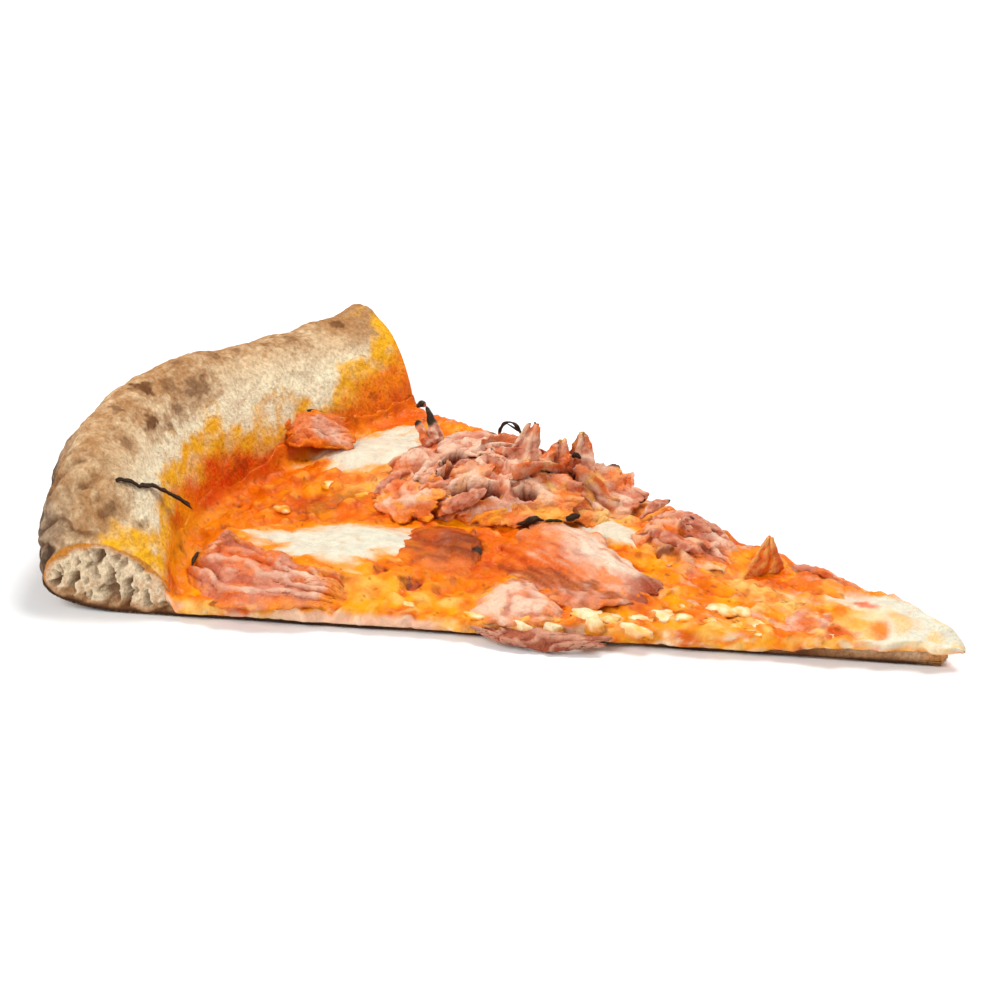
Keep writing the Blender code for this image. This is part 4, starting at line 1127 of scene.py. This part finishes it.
def make_ham_sheet(
    name, material, rails, steps, crumple, size, seed, stain, char, fused, pale,
    stretch=1.8, lift=None, tuck=None, shreds=(), paint=None,
):
    """A sheet of ham laid on the melt or, where it has no lift, left where its rails are."""
    points, fold, border = ham_sheet(rails, steps, crumple, size, seed, stretch=stretch)
    if lift is not None:
        points = laid(points, border, lift, tuck, fused)
    tint, wet = ham_colour(points, fold, border, seed, stain, char, pale)
    x, y, z = split(points)
    melted_in = smooth((border - 0.62 + 0.4 * relief(x, y, 0, 4.0, 3, seed)) / 0.35) * fused
    tint = mixed(tint, sauce_colour(x, y, z), melted_in)
    if paint:
        tint = paint(tint, points, fold, border)
    grids = slab(points, SHEET_THICKNESS, tint, wet)
    for number, shred in enumerate(shreds):
        grids.append(shred_tube(*shred, 400.0 + 7 * number))
    add_piece(name, [name], grids, material)


# The torn piece that stands up near the tip: its rails, from foot to point
SPIKE = (
    [(36, 4.5, 5.5), (37.6, 5.6, 9), (39.4, 6.9, 12.8)],
    [(42.5, 8.5, 5.5), (41.5, 8, 9), (40.2, 7.3, 12.8)],
)

# The heap: its middle, half length, half width and height, its heading, and the larger pieces in it
# (rails, crumple, oil, height where they char)
HEAP_CENTRE = (-16.0, 13.0)
HEAP_REACH = (19.5, 11.5)
HEAP_HEIGHT = 7.6
HEAP_HEADING = math.radians(6)
HEAP_PIECES = (
    ([(-34, 11, 8), (-28, 13.5, 13), (-22, 15.5, 14), (-16, 17, 14)],
     [(-33, 19, 9), (-28, 22, 12), (-22, 23.5, 12.5), (-15, 24, 12)], 1.0, 0.2, 30),
    ([(-32, 8, 8), (-26, 10, 12), (-21, 12, 13.5), (-15, 12.5, 13)],
     [(-32, 13, 11), (-27, 15, 13.5), (-21, 16.5, 15), (-15.5, 17, 14.5)], 1.3, 0.15, 30),
    ([(-17.5, 12, 9), (-15, 15.5, 14), (-12.4, 18, 19)],
     [(-8.0, 13, 10), (-8.8, 16, 14.5), (-10.2, 18.2, 19.8)], 0.7, 0.1, 19.2),
    ([(-10.5, 17, 11), (-8.5, 18.5, 14.5), (-6.5, 20, 16.5)],
     [(-3.5, 14, 10), (-3.8, 17, 13.5), (-5.2, 20, 16.5)], 0.8, 0.5, 16.3),
    ([(-5.5, 20, 11), (-4.8, 21, 15), (-3.7, 22, 17.8)],
     [(0.5, 20, 10), (-0.8, 21.5, 14.5), (-2.6, 22, 17.3)], 0.6, 0.6, 17.2),
    ([(-35, 0, 5.4), (-29, -3, 5.8), (-22, -2.5, 6.2)],
     [(-34, 6, 9), (-28, 4, 10), (-21, 3.5, 10)], 0.8, 0.95, 30),
    ([(-36, 7, 6.4), (-31, 5, 8), (-26, 6, 10.4)],
     [(-35, 13, 11), (-30, 11.5, 13), (-25, 11, 13)], 1.0, 0.6, 30),
    ([(-15, 1.0, 6.2), (-7, 2.2, 6.2), (2, 5.0, 5.6)],
     [(-14, 12, 13.2), (-7, 13.5, 13.4), (2, 15, 11.6)], 0.9, 0.6, 30),
    ([(-26, 0.8, 6.2), (-20.5, 0.8, 6.6), (-15, 1.8, 6.8)],
     [(-25, 8, 12.6), (-20, 9, 13.6), (-14.5, 10, 13.8)], 1.0, 0.5, 30),
    ([(-5, 8, 6.6), (3, 10, 6.0), (9, 13.5, 5.4)],
     [(-4, 24, 11), (3, 25, 10), (10, 22, 8)], 1.2, 0.5, 30),
)
# Rolled, horned and looped shreds of the heap: points along them, thickness there, and the share of their
# length after which they are char
HEAP_SHREDS = (
    ([(-21.0, 0.2, 7.0), (-18.6, 1.0, 8.8), (-16, 2.2, 10.4), (-13.4, 3.8, 11.8)], (1.0, 1.7, 1.8, 1.1), 2.0),
    ([(-29, 1.5, 8.0), (-25, 3.5, 9.6), (-21, 6, 10.6)], (0.8, 1.5, 0.9), 2.0),
    ([(-30.5, 16.5, 12.0), (-31.0, 17, 14.5), (-32.0, 17.5, 16.8), (-33.0, 18, 18.4)],
     (2.6, 1.6, 0.8, 0.45), 0.42),
    ([(-33.0, 18, 18.4), (-34.0, 18, 18.6), (-34.9, 18, 17.7)], (0.5, 0.75, 0.35), 0.0),
    ([(-31.0, 15, 11.5), (-32.6, 15.5, 14.2), (-33.9, 16, 16.2)], (1.5, 1.1, 0.8), 0.7),
    ([(-19.3, 20, 14.2), (-18.5, 20, 16.6), (-16.9, 20, 17.6), (-15.3, 20, 16.9), (-14.5, 20, 15.2)],
     (0.4, 0.45, 0.35, 0.5, 0.35), 0.0),
    ([(-17.6, 20, 17.2), (-16.3, 20.2, 16.6), (-14.9, 20.2, 16.0)], (0.25, 0.3, 0.25), 0.0),
    ([(-3.6, 18, 14.4), (-2.6, 18, 14.9), (-1.6, 18, 14.4)], (0.4, 0.7, 0.4), 0.0),
    ([(-8.5, 14.5, 12.0), (-7.2, 16.5, 14.4), (-6.3, 18.5, 16.6)], (1.4, 1.5, 0.5), 0.85),
    ([(-36, 3, 6.5), (-33.5, 5.5, 8.8), (-31, 8, 10)], (0.8, 1.4, 0.8), 2.0),
)
# How many more strips lie over it, at random
HEAP_STRIPS = 11
# Deep gaps between the pieces, painted dark as shade: how far these are pressed down there, and x, y and size
HEAP_GAP_DEPTH = 2.2
HEAP_GAPS = (
    (-23.5, 10.9, 4.0), (-23.6, 7.1, 3.4), (-18.7, 4.4, 4.4), (-13.9, 5.9, 4.0), (-7.5, 7.8, 3.2),
    (-7.7, 15.6, 4.0), (-4.4, 15.9, 4.0), (-1.8, 15.8, 3.0), (-25.4, 4.7, 2.2),
)


def heap_dome(x, y):
    """How high the heap's body stands over the melted layer, and its ring: 0 in the middle, 1 at the foot."""
    along, across = turned(x - HEAP_CENTRE[0], y - HEAP_CENTRE[1], HEAP_HEADING)
    ring = np.hypot(along / HEAP_REACH[0], across / HEAP_REACH[1])
    return HEAP_HEIGHT * np.clip(1 - ring**2, 0, 1) ** 0.55, ring


def heap_shade(points, tint):
    """The tint: painted shade down between the pieces and in the gaps, glazed with the melt about the heap's
    foot.
    """
    x, y, z = split(points)
    dome, ring = heap_dome(x, y)
    over = z - melt_height(x, y, detail=False) - dome
    at_foot = smooth((ring - 0.5) / 0.35 + 0.8 * relief(x, y, z, 4.0, 3, 110.0))
    pale = smooth(1.6 * relief(x, y, z, 4.0, 3, 111.0) - 0.1) * smooth((x + 14) / 6)
    streaks = smooth(2.0 * relief(x, y, z, 3.0, 3, 114.0)) * smooth((11 - y) / 8)
    return layered(
        tint,
        # Painted shade down between the pieces
        (BROWN, smooth((0.1 - over) / 1.6) * 0.8),
        (sauce_colour(x, y, z), at_foot * smooth((14 - y + 0.5 * x) / 6) * 0.85),
        (PALE, pale * 0.6),
        (YELLOW, streaks * 0.6),
        # Painted shade in the gaps
        (DEPTH, smooth(1.5 * gaps(x, y)) * 0.97),
    )


def gaps(x, y):
    """1 in the deep gaps of the heap."""
    found = np.zeros(x.shape)
    for *centre, size in HEAP_GAPS:
        found = np.maximum(found, blob(x, y, centre, size, size * 0.6, 25, 0.35, 0.6, 1.8))
    return found


def heap_slab(points, thickness, tint, wet):
    """A sheet of the heap: pressed down, dry and dark with painted shade at its gaps."""
    gap = gaps(points[..., 0], points[..., 1])
    pressed = points.copy()
    pressed[..., 2] -= HEAP_GAP_DEPTH * gap
    return slab(pressed, thickness, heap_shade(points, tint), wet * (1 - smooth(1.5 * gap)))


def heap_core():
    """The heap's body: a deeply crumpled dome over its uneven outline."""
    rings, spokes = np.linspace(0, 1, HEAP_STEPS[0]), np.linspace(0, 2 * math.pi, HEAP_STEPS[1])
    ring, spoke = np.meshgrid(rings, spokes, indexing="ij")
    reach = 1 + 0.14 * relief(np.cos(spoke) * 2, np.sin(spoke) * 2, 0, 1.1, 3, 30.0)
    along = HEAP_REACH[0] * ring * reach * np.cos(spoke)
    across = HEAP_REACH[1] * ring * reach * np.sin(spoke)
    x = HEAP_CENTRE[0] + along * math.cos(HEAP_HEADING) - across * math.sin(HEAP_HEADING)
    y = HEAP_CENTRE[1] + along * math.sin(HEAP_HEADING) + across * math.cos(HEAP_HEADING)
    ground = melt_height(x, y, detail=False)
    fold = 0.5 - np.abs(relief(x, y, 0, 4.4, 3, 91.0)) + 0.5 * (0.5 - np.abs(relief(x, y, 0, 1.8, 2, 94.0)))
    body = HEAP_HEIGHT * (1 - ring**2) ** 0.55
    z = ground - 0.3 + body + 2.8 * (fold - 0.35) * (1 - ring**6)
    whole, inland = np.stack([x, y, z], axis=-1), np.full(x.shape, 0.3)
    tint, wet = ham_colour(whole, fold, inland, seed=92.0, stain=0.55, char=-0.6, pale=0.35)
    gap = gaps(x, y)
    z = z - 2.0 * gap
    # Painted shade in the gaps
    tint = mixed(tint, DEPTH, gap * 0.95)
    upper = np.stack([x, y, z], axis=-1)
    lower = np.stack([x, y, ground - 1.2], axis=-1)
    melted_in = smooth((ring - 0.8 + 0.5 * relief(x, y, z, 3.5, 3, 95.0)) / 0.2)
    tint = mixed(tint, sauce_colour(x, y, z), melted_in * 0.8)
    top, bottom = (upper, tint, wet), (lower, tint, wet)
    return [top, bottom, strip([part[-1] for part in top], [part[-1] for part in bottom])]


def make_heap(material):
    """The crumpled heap: its body, the larger pieces on it, more strips at random and its shreds."""
    grids = heap_core()
    for number, (near, far, crumple, oil, char_height) in enumerate(HEAP_PIECES):
        seed = 20.0 + number
        points, fold, border = ham_sheet(
            (near, far), HEAP_PIECE_STEPS, crumple, size=4.0, seed=seed, roundness=0.3, ragged=0.3
        )
        tint, wet = ham_colour(points, fold, border, seed, oil, char=-0.3, pale=0.6, char_height=char_height)
        grids += heap_slab(points, FLAP_THICKNESS, tint, wet)
    draw = random.Random(6)
    for number in range(HEAP_STRIPS):
        grids += strip_of_ham(draw, 200.0 + number)
    for number, shred in enumerate(HEAP_SHREDS):
        grids.append(shred_tube(*shred, 300.0 + number))
    add_piece("ham_heap", ["ham_heap"], grids, material)


def strip_of_ham(draw, seed):
    """A crumpled strip of ham laid over the heap, rolled and curled as it was torn."""
    angle, spread = draw.uniform(-0.2, math.pi + 0.7), math.sqrt(draw.uniform(0.05, 0.8))
    x = HEAP_CENTRE[0] + HEAP_REACH[0] * spread * math.cos(angle)
    y = HEAP_CENTRE[1] + HEAP_REACH[1] * spread * math.sin(angle)
    heading = draw.uniform(-0.6, 0.9) if draw.random() < 0.6 else draw.uniform(0, math.pi)
    length, width = draw.uniform(8.0, 13.0), draw.uniform(4.0, 7.0)
    bend, curl, roll = draw.uniform(-0.5, 0.5), draw.uniform(-1.6, 0.5), draw.uniform(-1.0, 1.0)
    t, v = (np.linspace(-1, 1, steps) for steps in STRIP_STEPS)
    line_x = x + t * length / 2 * math.cos(heading) - bend * (t**2) * math.sin(heading)
    line_y = y + t * length / 2 * math.sin(heading) + bend * (t**2) * math.cos(heading)
    dome, _ = heap_dome(line_x, line_y)
    base = melt_height(line_x, line_y, detail=False) + dome
    base = base * 0.6 + base.mean() * 0.4
    line_z = base + draw.uniform(0.2, 1.2) + curl * t**2
    turn = roll + draw.uniform(-0.7, 0.7) * t
    wide = width / 2 * (1 - 0.5 * np.abs(t) ** 3)
    across = (-math.sin(heading) * np.cos(turn), math.cos(heading) * np.cos(turn), np.sin(turn))
    across = np.stack(across, axis=-1)
    spine = np.stack([line_x, line_y, line_z], axis=-1)
    cup = 0.35 * width * (v**2 - 0.4)
    upward = np.cross(np.gradient(spine, axis=0), across)
    upward /= np.linalg.norm(upward, axis=-1, keepdims=True)
    grid = spine[:, None] + across[:, None] * (wide[:, None] * v)[..., None]
    grid = grid + upward[:, None] * cup[None, :, None]
    points, fold = crumpled(grid, seed, crumple=0.6, size=3.8)
    edge = np.maximum(np.abs(t)[:, None], np.abs(v)[None, :])
    tear = relief_at(points, 1.6, 3, seed) * edge**2 * np.sign(v) * 0.5
    points = points + across[:, None] * tear[..., None]
    stain, char, pale = draw.uniform(0.1, 0.7), draw.uniform(-1.4, 0.0), draw.uniform(0.4, 1.0)
    tint, wet = ham_colour(points, fold, edge, seed, stain, char, pale)
    return heap_slab(points, STRIP_THICKNESS, tint, wet)


def shred_tube(line, thickness, char_from, seed):
    """A rolled shred along a line, turning to char from a share of its length on."""
    t = np.linspace(0, 1, TUBE_STEPS[0])
    spine = through(line, t)
    radius = through(thickness, t)[..., 0] * np.clip(np.minimum(t, 1 - t) * 9, 0, 1) ** 0.5 * 0.75
    along = np.gradient(spine, axis=0)
    along /= np.linalg.norm(along, axis=1, keepdims=True)
    side = np.cross(along, (0.3, 1.0, 0.1))
    side /= np.linalg.norm(side, axis=1, keepdims=True)
    over = np.cross(side, along)
    turn = np.linspace(0, 2 * math.pi, TUBE_STEPS[1])
    ring = side[:, None] * np.cos(turn)[None, :, None] + over[:, None] * np.sin(turn)[None, :, None]
    surface = spine[:, None] + ring * radius[:, None, None]
    fold = 0.5 - np.abs(relief_at(surface, 2.0, 2, seed))
    points = spine[:, None] + ring * (radius[:, None] * (0.75 + 0.8 * fold))[..., None]
    inland = np.full(fold.shape, 0.3)
    tint, wet = ham_colour(points, fold, inland, seed, stain=0.35, char=-0.8, pale=0.4)
    burnt = smooth((t[:, None] - char_from + 0.15 * relief_at(surface, 1.5, 2, seed)) / 0.15)
    return points, mixed(tint, CHAR, burnt), np.where(burnt > 0.5, 0.2, wet)


# The flap that hangs below the near edge, by its rails, and points along the charred shred on the rim
HANGING = (
    [(-1.5, -28.0, 2.4), (6, -26.6, 2.7), (15, -24.0, 3.0), (23, -21.6, 2.6)],
    [(1, -28.6, 1.7), (7, -28.8, 0.9), (14, -27.2, 0.7), (22, -23.9, 1.0)],
)
SHRED = (
    (-62.3, -41.6, 21.3), (-60.1, -38.3, 20.6), (-59.4, -33.8, 18.6), (-58.6, -29.7, 15.6),
    (-56.9, -26.2, 11.9),
)


def make_spike(material):
    """A torn piece that stands up near the tip."""
    seed = 9.0
    points, fold, border = ham_sheet(
        SPIKE, (36, 28), crumple=0.4, size=3.0, seed=seed, roundness=0.2, ragged=0.15
    )
    tint, wet = ham_colour(points, fold, border, seed, stain=1.0, char=-0.6, pale=0.6)
    tint = mixed(tint, ORANGE, 0.5 + 0.5 * relief_at(points, 3.0, 3, 109.0))
    # Paler on the fold tops: painted highlight
    tint = mixed(tint, PALE, smooth((fold - 0.35) / 0.2) * 0.6)
    add_piece("ham_spike", ["ham_spike"], slab(points, SHEET_THICKNESS, tint, wet), material)


def make_hanging(material):
    """The flap of ham that hangs over the near cut."""
    seed = 50.0
    points, fold, border = ham_sheet(
        HANGING, (84, 24), crumple=0.8, size=3.2, seed=seed, roundness=0.4, ragged=0.35
    )
    tint, wet = ham_colour(points, fold, border, seed, stain=0.1, char=-0.4, pale=-0.5)
    tint = layered(
        tint,
        # Rose and brown darken it, more towards its low edge under the overhang: partly its own colour,
        # partly painted shade
        (ROSE, 0.4 + 0.4 * smooth((2.4 - points[..., 2]) / 1.2)),
        (PINK, smooth(1.6 * relief_at(points, 5.0, 3, 112.0)) * 0.5),
        (BROWN, 0.25 + 0.3 * smooth((1.9 - points[..., 2]) / 0.8)),
        # Paler on the fold tops: painted highlight
        (PALE_HAM, smooth((fold - 0.34) / 0.2) * 0.3),
    )
    add_piece("ham_hanging", ["ham_hanging"], slab(points, FLAP_THICKNESS, tint, wet), material)


def make_shred(material):
    """A charred shred on the rim: a thin tapering ribbon."""
    share, spread = np.linspace(0, 1, SHRED_STEPS[0]), np.linspace(-1, 1, SHRED_STEPS[1])
    line = through(SHRED, share)
    r, side = polar(line[:, 0], line[:, 1])
    _, top = dough_sections(r, side)
    line[:, 2] = np.maximum(line[:, 2], top + 0.2) + 0.5 * relief(line[:, 0], line[:, 1], 0, 3.0, 3, 96.0)
    along = np.gradient(line, axis=0)
    across = np.cross(along, (0.3, 0.0, 1.0))
    across /= np.linalg.norm(across, axis=1, keepdims=True)
    width = 0.2 + 0.6 * share**0.7 * np.linspace(1, 0.5, SHRED_STEPS[0])
    width *= 1 + 0.9 * relief(line[:, 0], line[:, 1], 5.0, 1.6, 3, 97.0)
    points = line[:, None] + across[:, None] * (width[:, None] * spread)[..., None]
    points[..., 2] += 0.35 * spread**2
    browned = smooth(relief_at(points, 2.0, 2, 98.0)) * 0.3
    tint = mixed(np.broadcast_to(CHAR, points.shape), BROWN, browned)
    grids = slab(points, SHRED_THICKNESS, tint, np.full(points.shape[:2], 0.35))
    add_piece("shred", ["shred"], grids, material)


# Materials


# Each food's surface: roughness dry and wet, how strong its grain is, the sizes of its grain and of the finer
# one, height of its bumps in millimetres, subsurface share, its specks' colour and strength, and its shine
FOODS = {
    "dough": dict(
        dry=0.92, wet=0.35, grain=0.36, grain_size=0.7, fine_size=0.25, bump=0.5,
        subsurface=0.06, specks=(0.6, 0.45, 0.32), speck_share=0.5, shine=0.25,
    ),
    "melt": dict(
        dry=0.42, wet=0.09, grain=0.14, grain_size=2.0, fine_size=0.6, bump=0.6,
        subsurface=0.10, specks=(0.9, 0.5, 0.25), speck_share=0.35, shine=0.3,
    ),
    "ham": dict(
        dry=0.5, wet=0.16, grain=0.18, grain_size=1.3, fine_size=0.4, bump=0.6,
        subsurface=0.10, specks=(0.75, 0.5, 0.4), speck_share=0.5, shine=0.4,
    ),
    "char": dict(
        dry=0.7, wet=0.3, grain=0.3, grain_size=0.9, fine_size=0.3, bump=0.15,
        subsurface=0.0, specks=(0.6, 0.5, 0.5), speck_share=0.3, shine=0.4,
    ),
}
# Warm glints, and how far red, green and blue light travel in food, in millimetres
SHINE_TINT = (1.0, 0.66, 0.36, 1.0)
SUBSURFACE_REACH = (1.2, 0.7, 0.4)


def food_material(name, dry, wet, grain, grain_size, fine_size, bump, subsurface, specks, speck_share, shine):
    """A Principled food: its painted tint with grain and specks, rougher where dry, and its bumps."""
    material = bpy.data.materials.new(name)
    material.use_nodes = True
    nodes, links = material.node_tree.nodes, material.node_tree.links
    shader = nodes["Principled BSDF"]
    coordinates = nodes.new("ShaderNodeTexCoord")

    def painted(attribute):
        node = nodes.new("ShaderNodeAttribute")
        node.attribute_name = attribute
        return node

    def texture(size, detail):
        node = nodes.new("ShaderNodeTexNoise")
        for socket, value in (("Scale", 1.0 / (size * METRES)), ("Detail", detail), ("Roughness", 0.6)):
            node.inputs[socket].default_value = value
        links.new(coordinates.outputs["Object"], node.inputs["Vector"])
        return node.outputs["Fac"]

    def ranged(source, low, high, to_low, to_high):
        node = nodes.new("ShaderNodeMapRange")
        for socket, value in (("From Min", low), ("From Max", high), ("To Min", to_low), ("To Max", to_high)):
            node.inputs[socket].default_value = value
        links.new(source, node.inputs["Value"])
        return node.outputs["Result"]

    coarse, fine = texture(grain_size, 4), texture(fine_size, 3)
    scaled = nodes.new("ShaderNodeVectorMath")
    scaled.operation = "SCALE"
    links.new(painted("tint").outputs["Color"], scaled.inputs[0])
    links.new(ranged(coarse, 0.3, 0.7, 1.0 - grain, 1.0 + 0.45 * grain), scaled.inputs["Scale"])
    specked = nodes.new("ShaderNodeMix")
    specked.data_type = "RGBA"
    specked.blend_type = "MULTIPLY"
    specked.inputs["B"].default_value = (*specks, 1.0)
    links.new(ranged(texture(fine_size * 3.2, 5), 0.56, 0.68, 0.0, speck_share), specked.inputs["Factor"])
    links.new(scaled.outputs["Vector"], specked.inputs["A"])
    links.new(specked.outputs["Result"], shader.inputs["Base Color"])
    links.new(ranged(painted("wet").outputs["Fac"], 0.0, 1.0, dry, wet), shader.inputs["Roughness"])
    heights = nodes.new("ShaderNodeMath")
    heights.operation = "MULTIPLY_ADD"
    heights.inputs[1].default_value = 0.5
    links.new(fine, heights.inputs[0])
    links.new(coarse, heights.inputs[2])
    bumps = nodes.new("ShaderNodeBump")
    bumps.inputs["Strength"].default_value = 0.8
    bumps.inputs["Distance"].default_value = bump * METRES
    links.new(heights.outputs["Value"], bumps.inputs["Height"])
    links.new(bumps.outputs["Normal"], shader.inputs["Normal"])
    for socket, value in (
        ("Specular IOR Level", shine),
        ("Specular Tint", SHINE_TINT),
        ("Subsurface Weight", subsurface),
        ("Subsurface Scale", METRES),
        ("Subsurface Radius", SUBSURFACE_REACH),
    ):
        shader.inputs[socket].default_value = value
    return material


# Stage


def add_stage():
    """Pale floor and soft studio light."""
    floor = bpy.data.meshes.new("floor")
    half = FLOOR_HALF
    corners = [(-half, -half, 0), (half, -half, 0), (half, half, 0), (-half, half, 0)]
    floor.from_pydata(corners, [], [(0, 1, 2, 3)])
    surface = bpy.data.materials.new("floor")
    surface.use_nodes = True
    shader = surface.node_tree.nodes["Principled BSDF"]
    shader.inputs["Base Color"].default_value = FLOOR_COLOUR
    shader.inputs["Roughness"].default_value = 0.9
    shader.inputs["Specular IOR Level"].default_value = 0.0
    floor.materials.append(surface)
    ground = bpy.data.objects.new("floor", floor)
    ground.location.z = -FLOOR_DROP
    bpy.context.scene.collection.objects.link(ground)
    ground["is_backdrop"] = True
    world = bpy.data.worlds.new("studio")
    bpy.context.scene.world = world
    world.use_nodes = True
    sky = world.node_tree.nodes["Background"]
    sky.inputs["Color"].default_value = (1.0, 1.0, 1.0, 1.0)
    sky.inputs["Strength"].default_value = SKY_STRENGTH
    for light in LIGHTS:
        add_light(*light)
    bpy.context.scene.view_settings.view_transform = "Standard"


def add_light(name, location, size, power):
    """A round soft light that points at the origin."""
    light = bpy.data.lights.new(name, "AREA")
    light.shape = "DISK"
    light.size = size
    light.energy = power
    lamp = bpy.data.objects.new(name, light)
    lamp.location = location
    lamp.rotation_euler = (-Vector(location)).to_track_quat("-Z", "Y").to_euler()
    bpy.context.scene.collection.objects.link(lamp)


def add_camera():
    """The photograph's camera."""
    heading, dip = math.radians(CAMERA_HEADING), math.radians(CAMERA_DIP)
    forward = Vector((math.sin(heading) * math.cos(dip), math.cos(heading) * math.cos(dip), -math.sin(dip)))
    right = Vector((math.cos(heading), -math.sin(heading), 0.0))
    up = right.cross(forward)
    eye = (Vector(CAMERA_AIM) - forward * CAMERA_DISTANCE) * METRES
    camera = bpy.data.objects.new("camera", bpy.data.cameras.new("camera"))
    turn = Matrix((right, up, -forward)).transposed().to_4x4()
    camera.matrix_world = Matrix.Translation(eye) @ turn
    camera.data.lens = CAMERA_LENS
    camera.data.sensor_width = 36.0
    camera.data.clip_start = 0.01
    bpy.context.scene.collection.objects.link(camera)
    bpy.context.scene.camera = camera


def main():
    add_camera()
    add_stage()
    foods = {name: food_material(name, **surface) for name, surface in FOODS.items()}
    add_piece("crust", ["dough"], dough_grids(), foods["dough"])
    mozzarella = ["mozzarella_left", "mozzarella_far", "mozzarella_middle", "mozzarella_tip"]
    add_piece("melt", ["cheese", *mozzarella], melt_grids(), foods["melt"])
    for name, sheet in SHEETS.items():
        make_ham_sheet(name, foods["ham"], **sheet)
    make_heap(foods["ham"])
    make_spike(foods["ham"])
    make_hanging(foods["ham"])
    make_shred(foods["char"])


main()
